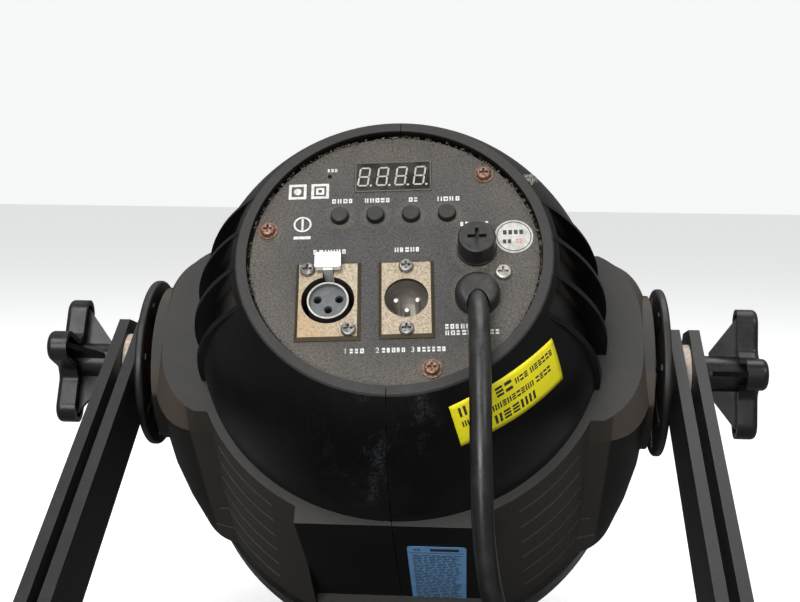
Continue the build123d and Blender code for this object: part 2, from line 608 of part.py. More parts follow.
def knob_outline(reduce):
    """Four-lobed outline, drawn in the YZ plane about the pivot axis."""
    width = LOBE_W - 2 * reduce
    shape = Circle(12.0 - reduce)
    for angle in (0, 90):
        shape = shape + Rot(Z=angle) * SlotOverall(2 * (KNOB_R - reduce), width)
    corners = [v for v in shape.vertices() if math.hypot(v.X, v.Y) < 16.5]
    return fillet(corners, 3.2 + reduce)


def clamp_knob(turn):
    """Cupped four-lobed knob on a ribbed hub."""
    face_in = KNOB_FACE - KNOB_HEAD_T
    head = extrude(knob_outline(0), KNOB_HEAD_T)
    head = fillet(head.faces().sort_by(Axis.Z)[-1].edges(), 2.4)
    cup = extrude(knob_outline(KNOB_WALL), KNOB_HEAD_T - 3.0)
    head = head - cup
    hub = Pos(0, 0, (hub_start - face_in) / 2 + 2.5) * Cylinder(KNOB_HUB_R, face_in - hub_start + 5.0)
    knob = head + hub
    for angle in (0, 90):
        web = make_face(Polyline((-KNOB_R + 4, 4.0), (-KNOB_R + 4, 0.5), (-KNOB_HUB_R - 1.5, hub_start - face_in + 4.0),
                                 (KNOB_HUB_R + 1.5, hub_start - face_in + 4.0), (KNOB_R - 4, 0.5),
                                 (KNOB_R - 4, 4.0), close=True))
        knob = knob + Rot(Z=angle) * extrude(Plane.XZ * web, 1.1, both=True)
    insert_r = 5.6
    knob = knob - Pos(0, 0, hub_start - face_in) * Cylinder(insert_r, 2 * 15.0)
    return Pos(face_in, 0, PIVOT_Z) * Rot(X=turn) * Rot(Y=90) * knob


def knob_insert():
    """Brass threaded insert of the knob."""
    return ring_on_axis(hub_start, hub_start + 15.0, 5.6, BOLT_R + RUN)


def pivot_bolt():
    """Hex bolt, its head inside the shell."""
    inner_face = BOSS_X - 6.4
    head = Pos(inner_face - 5.5, 0, PIVOT_Z) * Rot(Y=90) * extrude(RegularPolygon(7.5, 6), 5.3)
    return head + axle(inner_face - 0.4, hub_start + 14.0, BOLT_R)


RIGHT_KNOB_TURN = 26.4
LEFT_KNOB_TURN = 10.4
for name, make in (("friction_disc", friction_disc), ("pivot_bolt", pivot_bolt), ("knob_insert", knob_insert)):
    nodes[name + "_right"], nodes[name + "_left"] = both(make)
nodes["clamp_knob_right"] = clamp_knob(RIGHT_KNOB_TURN)
nodes["clamp_knob_left"] = mirror(clamp_knob(LEFT_KNOB_TURN), Plane.YZ)
for name, x0, x1, radius in (("boss_washers", BOSS_X + 0.1, hub_in - 0.1, 17.0),
                             ("inner_washers", disc_out + 0.2, inner_bar - 0.2, FIBRE_R),
                             ("outer_washers", inner_bar_out + GAP, outer_bar - GAP, FIBRE_R)):
    right, left = both(ring_on_axis, x0, x1, radius, BOLT_R + RUN)
    nodes[name] = Compound([right, left])


def yoke(inner_x, reach):
    """Flat-bar bracket: two arms and a crossbar with two round bends."""
    outer_x = inner_x + BAR_T
    outline = Rectangle(2 * outer_x, reach + YOKE_PAST)
    outline = Pos(0, -(reach - YOKE_PAST) / 2) * outline
    outline = fillet(outline.vertices().group_by(Axis.Y)[0], YOKE_BEND)
    hole = Pos(0, -(reach - BAR_T - YOKE_PAST - 1) / 2) * Rectangle(2 * inner_x, reach - BAR_T + YOKE_PAST + 1)
    hole = fillet(hole.vertices().group_by(Axis.Y)[0], YOKE_BEND - BAR_T)
    bar = extrude(outline - hole, BAR_H / 2, both=True)
    for side in (-1, 1):
        wedge = Rot(X=45) * Box(2 * outer_x + 10, YOKE_CUT * math.sqrt(2), YOKE_CUT * math.sqrt(2))
        bar = bar - Pos(0, YOKE_PAST, side * BAR_H / 2) * wedge
    bar = bar - Rot(Y=90) * Cylinder(BOLT_R + RUN, 2 * outer_x + 10)
    holes = [(0.0, HANG_HOLE_R), (SIDE_HOLE_X, SIDE_HOLE_R), (-SIDE_HOLE_X, SIDE_HOLE_R)]
    for x, radius in holes:
        bar = bar - Pos(x, -reach, 0) * Rot(X=90) * Cylinder(radius, 4 * BAR_T)
    return Pos(0, 0, PIVOT_Z) * Rot(X=-YOKE_ANGLE) * bar


INNER_REACH = YOKE_REACH - BAR_T - FIBRE_T - 2 * GAP
nodes["outer_yoke"] = yoke(outer_bar, YOKE_REACH)
nodes["inner_yoke"] = yoke(inner_bar, INNER_REACH)

# ---- tip everything onto its resting pose ----
tipped = {name: Rot(X=HEAD_PITCH) * part for name, part in nodes.items()}
boxes = [part.bounding_box() for part in tipped.values()]
floor_z = min(b.min.Z for b in boxes)
middle_y = (min(b.min.Y for b in boxes) + max(b.max.Y for b in boxes)) / 2
lift = Pos(0, -middle_y, -floor_z)
placed = {name: lift * part for name, part in tipped.items()}


def settled(x, y, z):
    """A point of the head's own axes, in the resting pose."""
    a = math.radians(HEAD_PITCH)
    return (x, y * math.cos(a) - z * math.sin(a) - middle_y, y * math.sin(a) + z * math.cos(a) - floor_z)


# ---- power cord: hangs from the gland to the floor, then into a coil under the head ----
def round_path(points):
    """Straight runs joined by the largest tangent arcs that the runs leave room for."""
    spots = [Vector(*p) for p in points]
    radii = []
    for a, b, c in zip(spots, spots[1:], spots[2:]):
        before, after = b - a, c - b
        half_turn = math.radians(before.get_angle(after)) / 2
        radii.append(0.45 * min(before.length, after.length) / math.tan(half_turn))
    return FilletPolyline(*spots, radius=radii), radii


def cord_tube(label, points):
    """Round tube along a route; prints its arcs, its length and its volume as a share of section times length."""
    path, radii = round_path(points)
    section = Plane(origin=path @ 0, z_dir=path % 0) * Circle(CORD_R)
    tube = sweep(section, path=path)
    expected = math.pi * CORD_R**2 * path.length
    print(label, "radii", [round(r, 1) for r in radii], "length", round(path.length, 1),
          "volume share", round(tube.volume / expected, 4))
    return tube


def on_coil(angle, radius, z):
    """A point of the coil."""
    a = math.radians(angle)
    return COIL_CENTRE[0] + radius * math.cos(a), COIL_CENTRE[1] + radius * math.sin(a), z


start = settled(*on_panel(cord_from[0], cord_from[1]), cord_from[2])
join = on_coil(COIL_IN_ANGLE, COIL_WIDE_R, CORD_R)
leave = on_coil(COIL_OUT_ANGLE, COIL_WIDE_R, CORD_R + cord_d)
plug_z = PLUG_BODY[2] / 2 + 0.2
print("cord start", [round(v, 2) for v in start], "join", [round(v, 2) for v in join],
      "leave", [round(v, 2) for v in leave])
placed["power_cord"] = cord_tube("power_cord", (start, *CORD_ROUTE, join))
placed["cord_tail"] = cord_tube("cord_tail", (leave, *TAIL_ROUTE, (PLUG_X, PLUG_START_Y, plug_z)))
coil_in = COIL_WIDE_R - cord_d
coil = Cylinder(COIL_WIDE_R + CORD_R, 2 * cord_d) - Cylinder(coil_in - CORD_R, 2 * cord_d)
placed["cord_coil"] = Pos(*COIL_CENTRE, cord_d) * fillet(coil.edges().filter_by(GeomType.CIRCLE), CORD_R * 0.9)
coil_length = 4 * math.pi * (COIL_WIDE_R + coil_in) + math.radians(COIL_OUT_ANGLE - COIL_IN_ANGLE) * COIL_WIDE_R
print("coil length", round(coil_length, 1))

# three-pin mains plug on its side of the coil
relief_end = PLUG_START_Y - RELIEF_L
relief = Pos(PLUG_X, PLUG_START_Y - RELIEF_L / 2, plug_z) * Rot(X=-90) * Cone(RELIEF_R, CORD_R + 1.0, RELIEF_L)
placed["plug_relief"] = relief
body = Pos(PLUG_X, relief_end - PLUG_BODY[1] / 2, plug_z) * Box(*PLUG_BODY)
body = fillet(body.edges().filter_by(Axis.Y), PLUG_ROUND)
body = fillet(body.faces().sort_by(Axis.Y)[-1].edges(), PLUG_SHOULDER)
blade_y1 = relief_end - PLUG_BODY[1]
placed["plug_body"] = body
blades = [block(PLUG_X + s * BLADE_GAP / 2 - BLADE_T / 2, PLUG_X + s * BLADE_GAP / 2 + BLADE_T / 2,
                blade_y1 - BLADE_L, blade_y1, plug_z - BLADE_W, plug_z) for s in (-1, 1)]
pin = Pos(PLUG_X, blade_y1 - BLADE_L / 2, plug_z + EARTH_PIN_UP) * Rot(X=90) * Cylinder(EARTH_PIN_R, BLADE_L)
placed["plug_blades"] = Compound(blades + [pin])

os.makedirs("parts", exist_ok=True)
for name, part in placed.items():
    export_step(part, "parts/" + name + ".step")
print(len(placed), "nodes")
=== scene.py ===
import json
import math
import random

import bmesh
import bpy
from mathutils import Matrix, Vector


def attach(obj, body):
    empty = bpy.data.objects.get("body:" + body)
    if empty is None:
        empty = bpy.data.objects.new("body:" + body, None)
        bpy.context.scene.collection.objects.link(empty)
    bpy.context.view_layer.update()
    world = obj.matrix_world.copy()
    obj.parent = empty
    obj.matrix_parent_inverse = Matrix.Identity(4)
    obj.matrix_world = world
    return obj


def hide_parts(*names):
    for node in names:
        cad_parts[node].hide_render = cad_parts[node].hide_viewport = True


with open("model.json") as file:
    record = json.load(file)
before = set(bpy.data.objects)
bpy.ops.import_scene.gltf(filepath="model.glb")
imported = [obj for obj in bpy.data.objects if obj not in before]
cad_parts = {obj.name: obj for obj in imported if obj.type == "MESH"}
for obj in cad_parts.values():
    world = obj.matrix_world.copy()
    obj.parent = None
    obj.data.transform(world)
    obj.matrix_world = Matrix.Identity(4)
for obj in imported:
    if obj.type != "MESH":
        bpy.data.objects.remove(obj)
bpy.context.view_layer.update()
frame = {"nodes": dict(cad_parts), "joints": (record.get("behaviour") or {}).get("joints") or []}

mm = 0.001
cadNodes = frame["nodes"]
jointNamed = {joint["name"]: joint for joint in frame["joints"]}

# head axes: +Z out of the rear panel, X along the tilt axis, origin in the plane of the rim
headSet = {"pivotBelowRim": 99.2 * mm, "panelTurn": 3.0, "panelRecess": 3.6 * mm}
headUp = -Vector(jointNamed["output_latch_press"]["axis"]).normalized()
headSide = Vector((1, 0, 0))
pivot = Vector(jointNamed["outer_bracket_swing"]["pos_m"])
rimCentre = pivot + headUp * headSet["pivotBelowRim"]
headFrame = Matrix((headSide, headUp.cross(headSide), headUp)).transposed().to_4x4()
headFrame.translation = rimCentre
panelFrame = headFrame @ Matrix.Rotation(math.radians(headSet["panelTurn"]), 4, "Z")
panelFrame = panelFrame @ Matrix.Translation((0, 0, -headSet["panelRecess"]))
headTilt = math.atan2(-headUp.y, headUp.z)

cameraSet = {"place": (0.03244, -0.5274, 0.21188), "turn": (84.91, -0.716, 3.618), "lens": 57.177,
             "sensor": 36.0}
cameraData = bpy.data.cameras.new("camera")
cameraData.lens = cameraSet["lens"]
cameraData.sensor_width = cameraSet["sensor"]
cameraData.clip_start = 0.01
camera = bpy.data.objects.new("camera", cameraData)
camera.location = cameraSet["place"]
camera.rotation_euler = [math.radians(a) for a in cameraSet["turn"]]
bpy.context.scene.collection.objects.link(camera)
bpy.context.scene.camera = camera
bpy.context.scene.view_settings.view_transform = "Standard"
print("camera placed")

# small helpers that build shader nodes


def addNode(tree, kind, inputs=None, **settings):
    made = tree.nodes.new(kind)
    for key, value in settings.items():
        setattr(made, key, value)
    for key, value in (inputs or {}).items():
        if isinstance(value, bpy.types.NodeSocket):
            tree.links.new(value, made.inputs[key])
        else:
            made.inputs[key].default_value = value
    return made


def doMath(tree, operation, first, second=0.0):
    return addNode(tree, "ShaderNodeMath", {0: first, 1: second}, operation=operation).outputs[0]


def remap(tree, value, low, high, toLow=0.0, toHigh=1.0, smooth=True):
    kind = "SMOOTHSTEP" if smooth else "LINEAR"
    made = addNode(tree, "ShaderNodeMapRange", {"Value": value, "From Min": low, "From Max": high,
                                                "To Min": toLow, "To Max": toHigh}, interpolation_type=kind)
    return made.outputs["Result"]


def noise(tree, place, scale, detail=4.0, rough=0.55, distort=0.0):
    made = addNode(tree, "ShaderNodeTexNoise", {"Vector": place, "Scale": scale, "Detail": detail,
                                                "Roughness": rough, "Distortion": distort})
    return made.outputs["Fac"]


def startGroup(name, inputs, outputs):
    tree = bpy.data.node_groups.new(name, "ShaderNodeTree")
    for label, value in inputs.items():
        made = tree.interface.new_socket(label, in_out="INPUT", socket_type="NodeSocketFloat")
        made.default_value = value
    for label in outputs:
        tree.interface.new_socket(label, in_out="OUTPUT", socket_type="NodeSocketFloat")
    return tree, tree.nodes.new("NodeGroupInput").outputs, tree.nodes.new("NodeGroupOutput").inputs


# dust that settles on what faces up at rest
dustGroup, given, result = startGroup("settledDust", {"Amount": 0.5, "Facing": 0.2, "Scale": 300.0}, ["Mask"])
coords = addNode(dustGroup, "ShaderNodeTexCoord").outputs
upward = addNode(dustGroup, "ShaderNodeVectorMath", {0: coords["Normal"], 1: (0.0, -0.25, 0.97)},
                 operation="DOT_PRODUCT").outputs["Value"]
facing = remap(dustGroup, upward, given["Facing"], 1.0)
coarse = noise(dustGroup, coords["Object"], 45.0, 5.0)
fine = noise(dustGroup, coords["Object"], given["Scale"], 6.0, 0.7)
patches = doMath(dustGroup, "MULTIPLY", remap(dustGroup, coarse, 0.32, 0.62),
                 remap(dustGroup, fine, 0.36, 0.66))
amount = doMath(dustGroup, "MULTIPLY", doMath(dustGroup, "MULTIPLY", facing, patches), given["Amount"])
dustGroup.links.new(amount, result["Mask"])

# rubbed edges: where the rounded normal leaves the true one
wearGroup, given, result = startGroup("edgeWear", {"Width": 0.0006, "Amount": 0.5, "Scale": 120.0}, ["Mask"])
coords = addNode(wearGroup, "ShaderNodeTexCoord").outputs
rounded = addNode(wearGroup, "ShaderNodeBevel", {"Radius": given["Width"]}, samples=4).outputs["Normal"]
trueNormal = addNode(wearGroup, "ShaderNodeNewGeometry").outputs["Normal"]
agree = addNode(wearGroup, "ShaderNodeVectorMath", {0: rounded, 1: trueNormal},
                operation="DOT_PRODUCT").outputs["Value"]
edge = remap(wearGroup, doMath(wearGroup, "SUBTRACT", 1.0, agree), 0.02, 0.22)
rub = remap(wearGroup, noise(wearGroup, coords["Object"], given["Scale"], 6.0, 0.65), 0.40, 0.62)
worn = doMath(wearGroup, "MULTIPLY", doMath(wearGroup, "MULTIPLY", edge, rub), given["Amount"])
wearGroup.links.new(worn, result["Mask"])

# fine moulded or sprayed texture
grainGroup, given, result = startGroup("surfaceGrain", {"Scale": 1500.0}, ["Height"])
coords = addNode(grainGroup, "ShaderNodeTexCoord").outputs
cells = addNode(grainGroup, "ShaderNodeTexVoronoi", {"Vector": coords["Object"], "Scale": given["Scale"]},
                feature="SMOOTH_F1").outputs["Distance"]
soft = noise(grainGroup, coords["Object"], doMath(grainGroup, "MULTIPLY", given["Scale"], 0.6), 3.0)
grainGroup.links.new(doMath(grainGroup, "ADD", doMath(grainGroup, "MULTIPLY", cells, 0.5), soft),
                     result["Height"])

# large soft patches
patchGroup, given, result = startGroup("softPatches", {"Scale": 30.0, "Low": 0.4, "High": 0.6}, ["Mask"])
coords = addNode(patchGroup, "ShaderNodeTexCoord").outputs
spots = noise(patchGroup, coords["Object"], given["Scale"], 5.0, 0.6)
patchGroup.links.new(remap(patchGroup, spots, given["Low"], given["High"]), result["Mask"])


def useGroup(look, group, **values):
    made = look["tree"].nodes.new("ShaderNodeGroup")
    made.node_tree = group
    for label, value in values.items():
        made.inputs[label].default_value = value
    return made.outputs[0]


def startLook(name, color, rough, metal=0.0, **fixed):
    made = bpy.data.materials.new(name)
    made.use_nodes = True
    tree = made.node_tree
    shader = next(n for n in tree.nodes if n.type == "BSDF_PRINCIPLED")
    for label, value in fixed.items():
        shader.inputs[label.replace("_", " ")].default_value = value
    return {"material": made, "tree": tree, "shader": shader, "Base Color": (*color, 1.0), "Roughness": rough,
            "Metallic": metal, "Normal": None, "coords": addNode(tree, "ShaderNodeTexCoord").outputs}


def cover(look, mask, color=None, rough=None, metal=None):
    tree = look["tree"]
    if color is not None:
        color = color if isinstance(color, bpy.types.NodeSocket) else (*color, 1.0)
        made = addNode(tree, "ShaderNodeMix", {0: mask, 6: look["Base Color"], 7: color}, data_type="RGBA")
        look["Base Color"] = made.outputs[2]
    for label, value in (("Roughness", rough), ("Metallic", metal)):
        if value is not None:
            made = addNode(tree, "ShaderNodeMix", {0: mask, 2: look[label], 3: value}, data_type="FLOAT")
            look[label] = made.outputs[0]


def dent(look, height, depth, strength=1.0):
    inputs = {"Height": height, "Distance": depth, "Strength": strength}
    if look["Normal"] is not None:
        inputs["Normal"] = look["Normal"]
    look["Normal"] = addNode(look["tree"], "ShaderNodeBump", inputs).outputs["Normal"]


def closeLook(look):
    for label in ("Base Color", "Roughness", "Metallic", "Normal"):
        value = look[label]
        if isinstance(value, bpy.types.NodeSocket):
            look["tree"].links.new(value, look["shader"].inputs[label])
        elif value is not None:
            look["shader"].inputs[label].default_value = value
    return look["material"]


def finish(name, color, rough, metal=0.0, second=None, secondRough=None, patch=(30.0, 0.4, 0.6), grain=0.0,
           grainDepth=0.0, dust=0.0, dustColor=(0.16, 0.14, 0.12), dustScale=300.0, facing=0.2, wear=0.0,
           wearColor=(0.12, 0.115, 0.11), wearWidth=0.0006, wearRough=0.5, fixed=None):
    look = startLook(name, color, rough, metal, **(fixed or {}))
    if second is not None:
        mask = useGroup(look, patchGroup, Scale=patch[0], Low=patch[1], High=patch[2])
        cover(look, mask, second, secondRough)
    if wear:
        cover(look, useGroup(look, wearGroup, Width=wearWidth, Amount=wear), wearColor, wearRough)
    if dust:
        cover(look, useGroup(look, dustGroup, Amount=dust, Facing=facing, Scale=dustScale),
              dustColor, 0.9, 0.0)
    if grain:
        dent(look, useGroup(look, grainGroup, Scale=grain), grainDepth)
    return closeLook(look)


def dress(material, *names):
    for name in names:
        slots = cadNodes[name].data.materials
        slots.clear()
        slots.append(material)


# small helpers that build and keep pieces


def keepPiece(name, shape, material, body, smooth=False):
    mesh = bpy.data.meshes.new(name)
    shape.to_mesh(mesh)
    shape.free()
    mesh.materials.append(material)
    for face in mesh.polygons:
        face.use_smooth = smooth
    made = bpy.data.objects.new(name, mesh)
    bpy.context.scene.collection.objects.link(made)
    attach(made, body)
    return made


def addBlock(shape, place, x0, x1, y0, y1, z0, z1):
    middle = Matrix.Translation(((x0 + x1) / 2 * mm, (y0 + y1) / 2 * mm, (z0 + z1) / 2 * mm))
    size = Matrix.Diagonal(((x1 - x0) * mm, (y1 - y0) * mm, (z1 - z0) * mm, 1.0))
    return bmesh.ops.create_cube(shape, size=1.0, matrix=place @ middle @ size)["verts"]


def raiseFaces(shape, faces, lift):
    made = bmesh.ops.extrude_face_region(shape, geom=faces)["geom"]
    verts = [g for g in made if isinstance(g, bmesh.types.BMVert)]
    bmesh.ops.translate(shape, verts=verts, vec=lift)
    return verts


def addDisc(shape, place, x, y, radius, z0, z1, sides=32, hole=0.0):
    spot = place @ Matrix.Translation((x * mm, y * mm, z0 * mm))
    outer = bmesh.ops.create_circle(shape, cap_ends=not hole, segments=sides, radius=radius * mm,
                                    matrix=spot)["verts"]
    faces = list({face for vert in outer for face in vert.link_faces})
    if hole:
        inner = bmesh.ops.create_circle(shape, segments=sides, radius=hole * mm, matrix=spot)["verts"]
        edges = list({edge for vert in [*outer, *inner] for edge in vert.link_edges})
        faces = bmesh.ops.bridge_loops(shape, edges=edges)["faces"]
    lift = (place.to_3x3() @ Vector((0, 0, 1))).normalized() * (z1 - z0) * mm
    raiseFaces(shape, faces, lift)


def addOutline(shape, place, points, z0, z1):
    verts = [shape.verts.new(place @ Vector((x * mm, y * mm, z0 * mm))) for x, y in points]
    lift = (place.to_3x3() @ Vector((0, 0, 1))).normalized() * (z1 - z0) * mm
    raiseFaces(shape, [shape.faces.new(verts)], lift)


def closeShape(shape, merge=0.0):
    if merge:
        bmesh.ops.remove_doubles(shape, verts=shape.verts, dist=merge)
    bmesh.ops.recalc_face_normals(shape, faces=shape.faces)
    return shape


# the cord, with its drop from the gland, its coil on the floor and its tail to the plug
cordSet = {
    "radius": 3.95, "length": 1.64,
    "drop": ((31.96, -55.03, 172.45), (32.7, -69.7, 166.1), (33.2, -82.8, 155.3), (33.7, -92.9, 140.4),
             (34.2, -99.0, 122.4), (34.9, -101.0, 103.4), (36.4, -101.0, 84.5), (40.3, -98.8, 66.0),
             (47.0, -93.8, 47.5), (55.0, -84.5, 30.0), (63.0, -71.5, 15.5), (68.5, -54.5, 7.2),
             (69.5, -35.0, 3.95), (63.5, -16.0, 3.95), (50.0, -1.5, 3.95), (30.5, 6.0, 3.95),
             (12.0, 7.6, 3.95), (-6.5, 6.4, 3.95)),
    "coilCentre": (-20.0, -48.0), "coilStart": 95.0, "turnPoints": 16,
    # radius and height of each turn in order, then where the cord leaves
    "turns": ((51.6, 4.05), (43.7, 4.05), (43.7, 12.05), (51.6, 12.05), (60.0, 12.2)),
    "shiftShare": 0.18, "riseInset": 3.4,
    "tail": ((-51.5, 5.0, 12.0), (-67.6, -8.4, 11.5), (-79.6, -24.0, 10.8), (-86.6, -41.0, 10.3),
             (-89.0, -59.5, 10.4)),
}


def coilPoints(look):
    points = []
    step = 360.0 / look["turnPoints"]
    outward = 1.0 / math.cos(math.radians(step / 2))
    for turn, (start, end) in enumerate(zip(look["turns"], look["turns"][1:])):
        for k in range(look["turnPoints"]):
            share = (k / look["turnPoints"] - 1 + look["shiftShare"]) / look["shiftShare"]
            share = min(max(share, 0.0), 1.0)
            share = share * share * (3 - 2 * share)
            radius = start[0] + (end[0] - start[0]) * share
            height = start[1] + (end[1] - start[1]) * share
            if end[1] - start[1] > look["radius"]:
                radius -= look["riseInset"] * 4 * share * (1 - share)
            angle = math.radians(look["coilStart"] + step * k)
            points.append((look["coilCentre"][0] + radius * outward * math.cos(angle),
                           look["coilCentre"][1] + radius * outward * math.sin(angle), height))
    return points


cordCurve = bpy.data.curves.new("powerCord", "CURVE")
cordCurve.dimensions = "3D"
cordCurve.bevel_depth = 1.0  # times each point's radius, which a curve's bounds take in
cordCurve.bevel_resolution = 5
cordCurve.resolution_u = 8
cordCurve.use_fill_caps = True
spline = cordCurve.splines.new("NURBS")
cordPath = [*cordSet["drop"], *coilPoints(cordSet), *cordSet["tail"]]
spline.points.add(len(cordPath) - 1)
for spot, point in zip(spline.points, cordPath):
    spot.co = (point[0] * mm, point[1] * mm, point[2] * mm, 1.0)
    spot.radius = cordSet["radius"] * mm
spline.order_u = 3
spline.use_endpoint_u = True
spline.use_smooth = True
cord = bpy.data.objects.new("powerCord", cordCurve)
bpy.context.scene.collection.objects.link(cord)
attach(cord, "head")
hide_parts("power_cord", "cord_coil", "cord_tail")
print("cord laid")

# finishes, each with the parts that wear it
headPlace = {"Location": rimCentre, "Rotation": (headTilt, 0.0, 0.0), "Scale": (1.0, 1.0, 1.0)}


def headCoords(look, turned=0.0):
    made = addNode(look["tree"], "ShaderNodeMapping", {"Vector": look["coords"]["Object"], **headPlace},
                   vector_type="TEXTURE")
    if not turned:
        return made.outputs["Vector"]
    made = addNode(look["tree"], "ShaderNodeMapping", {"Vector": made.outputs["Vector"],
                                                       "Rotation": (0.0, 0.0, math.radians(turned))},
                   vector_type="TEXTURE")
    return made.outputs["Vector"]


def splitCoords(look, place):
    return addNode(look["tree"], "ShaderNodeSeparateXYZ", {0: place}).outputs


dustBrown = (0.17, 0.145, 0.115)
plasticSet = {"dome": (0.0022, 0.0021, 0.0020), "smoky": (0.0042, 0.0039, 0.0036),
              "skirt": (0.040, 0.034, 0.028),
              "rim": (0.038, 0.0368, 0.035), "flat": (0.0040, 0.0038, 0.0036),
              # the ledge tone is painted light: up-facing faces shown lighter as if lit from above
              "ledge": (0.044, 0.043, 0.0415),
              "bevel": (0.070, 0.058, 0.048), "blockSide": (0.012, 0.0108, 0.0098),
              "bayFloor": (0.040, 0.034, 0.029),
              # the smudge tone is partly real smudging and partly a painted highlight
              "smudgeAndHighlight": (0.11, 0.12, 0.14)}
look = startLook("blackPlastic", plasticSet["dome"], 0.40, Specular_IOR_Level=0.22)
tree = look["tree"]
place = headCoords(look)
axis = splitCoords(look, place)
facesOut = addNode(tree, "ShaderNodeVectorMath", {0: look["coords"]["Normal"], 1: headUp},
                   operation="DOT_PRODUCT").outputs["Value"]
sideways = doMath(tree, "ABSOLUTE", axis["X"])
below = remap(tree, axis["Z"], -0.0650, -0.0654)
aside = remap(tree, sideways, 0.0382, 0.0388)
onBlock = doMath(tree, "MULTIPLY", remap(tree, sideways, 0.0870, 0.0885),
                 remap(tree, doMath(tree, "ABSOLUTE", axis["Y"]), 0.0600, 0.0560))
cover(look, useGroup(look, patchGroup, Scale=22.0, Low=0.42, High=0.64), plasticSet["smoky"], 0.48)
cover(look, below, plasticSet["flat"], 0.50)
cover(look, doMath(tree, "MULTIPLY", below, aside), plasticSet["skirt"], 0.62)
cover(look, doMath(tree, "MULTIPLY", below, onBlock), plasticSet["blockSide"], 0.60)
bevelled = doMath(tree, "MULTIPLY", remap(tree, facesOut, 0.20, 0.30),
                  remap(tree, axis["Z"], -0.0790, -0.0765))
cover(look, doMath(tree, "MULTIPLY", doMath(tree, "MULTIPLY", below, onBlock), bevelled),
      plasticSet["bevel"], 0.7)
# painted light: up-facing faces of the ledge and block tops are painted lighter, standing in for light from
# above
paintedTopLight = doMath(tree, "MULTIPLY", remap(tree, facesOut, 0.85, 0.93), remap(tree, axis["Z"], -0.0600, -0.0640))
cover(look, paintedTopLight, plasticSet["ledge"], 0.60)
cover(look, remap(tree, axis["Z"], -0.0009, -0.0005), plasticSet["rim"], 0.60)
# lighter grey-brown on the floors of the bays between the fins, near the rim
span = doMath(tree, "SQRT", doMath(tree, "ADD", doMath(tree, "MULTIPLY", axis["X"], axis["X"]),
                                   doMath(tree, "MULTIPLY", axis["Y"], axis["Y"])))
sunk = remap(tree, doMath(tree, "ADD", span, doMath(tree, "MULTIPLY", axis["Z"], 0.42)), 0.0625, 0.0600)
inBays = doMath(tree, "MULTIPLY", remap(tree, sideways, 0.040, 0.044),
                remap(tree, doMath(tree, "ABSOLUTE", axis["Y"]), 0.0262, 0.0255))
inBays = doMath(tree, "MULTIPLY", inBays, remap(tree, axis["Z"], -0.0034, -0.0038))
cover(look, doMath(tree, "MULTIPLY", doMath(tree, "MULTIPLY", inBays, sunk),
                   remap(tree, axis["Z"], -0.030, -0.008)),
      plasticSet["bayFloor"], 0.9)
# whitish smears near the seam on the front of the dome: part smudge, part painted highlight
nearSeam = remap(tree, doMath(tree, "ABSOLUTE", axis["X"]), 0.034, 0.002)
stretch = addNode(tree, "ShaderNodeMapping", {"Vector": place, "Scale": (1.0, 1.0, 0.45)}).outputs["Vector"]
smearAndHighlight = doMath(tree, "MULTIPLY", remap(tree, noise(tree, stretch, 70.0, 8.0, 0.72, 0.6), 0.50, 0.72),
               remap(tree, noise(tree, place, 900.0, 3.0), 0.35, 0.65))
onDome = doMath(tree, "MULTIPLY", remap(tree, axis["Z"], -0.064, -0.050),
                remap(tree, axis["Y"], -0.01, -0.05))
smearAndHighlight = doMath(tree, "MULTIPLY", doMath(tree, "MULTIPLY", nearSeam, onDome), smearAndHighlight)
cover(look, doMath(tree, "MULTIPLY", smearAndHighlight, 0.32), plasticSet["smudgeAndHighlight"], 0.6)
rubbed = useGroup(look, wearGroup, Width=0.0004, Amount=0.25, Scale=140.0)
cover(look, doMath(tree, "MULTIPLY", rubbed, remap(tree, axis["Z"], -0.0700, -0.0660)),
      (0.08, 0.077, 0.072), 0.5)
cover(look, useGroup(look, dustGroup, Amount=0.16, Facing=0.45, Scale=900.0), dustBrown, 0.9)
dent(look, useGroup(look, grainGroup, Scale=1400.0), 0.00006)
blackPlastic = closeLook(look)
dress(blackPlastic, "housing_left", "housing_right")

# the panel: sprayed texture, brown dust thickest near the rim and round whatever stands on it
panelSet = {"base": (0.068, 0.0655, 0.062), "dark": (0.048, 0.047, 0.0465), "dust": (0.200, 0.170, 0.135),
            "speck": (0.240, 0.225, 0.200), "pit": (0.020, 0.019, 0.018)}
look = startLook("texturedPanel", panelSet["base"], 0.58)
tree = look["tree"]
place = headCoords(look, headSet["panelTurn"])
cover(look, useGroup(look, patchGroup, Scale=20.0, Low=0.30, High=0.75), panelSet["dark"], 0.55)
pits = remap(tree, noise(tree, place, 1150.0, 2.0, 0.6), 0.50, 0.38)
cover(look, doMath(tree, "MULTIPLY", pits, 0.75), panelSet["pit"])
speck = remap(tree, noise(tree, place, 1700.0, 2.0, 0.8), 0.52, 0.68)
cover(look, doMath(tree, "MULTIPLY", speck, 0.38), panelSet["speck"])
flatPlace = addNode(tree, "ShaderNodeVectorMath", {0: place, 1: (1.0, 1.0, 0.0)},
                    operation="MULTIPLY").outputs[0]
spread = addNode(tree, "ShaderNodeVectorMath", {0: flatPlace}, operation="LENGTH").outputs["Value"]
dusty = remap(tree, spread, 0.030, 0.056, 0.10, 0.95)
raised = [(-0.3 + (k - 1.5) * 13.9, 18.3, 3.4) for k in range(4)]
raised += [(31.5, 1.8, 7.7), (31.0, -18.9, 8.4), (41.1, -9.0, 3.2), (-25.4, 37.6, 0.9)]
raised += [(50.5 * math.cos(math.radians(a)), 50.5 * math.sin(math.radians(a)), 3.7)
           for a in (45.5, 165.5, -74.5)]
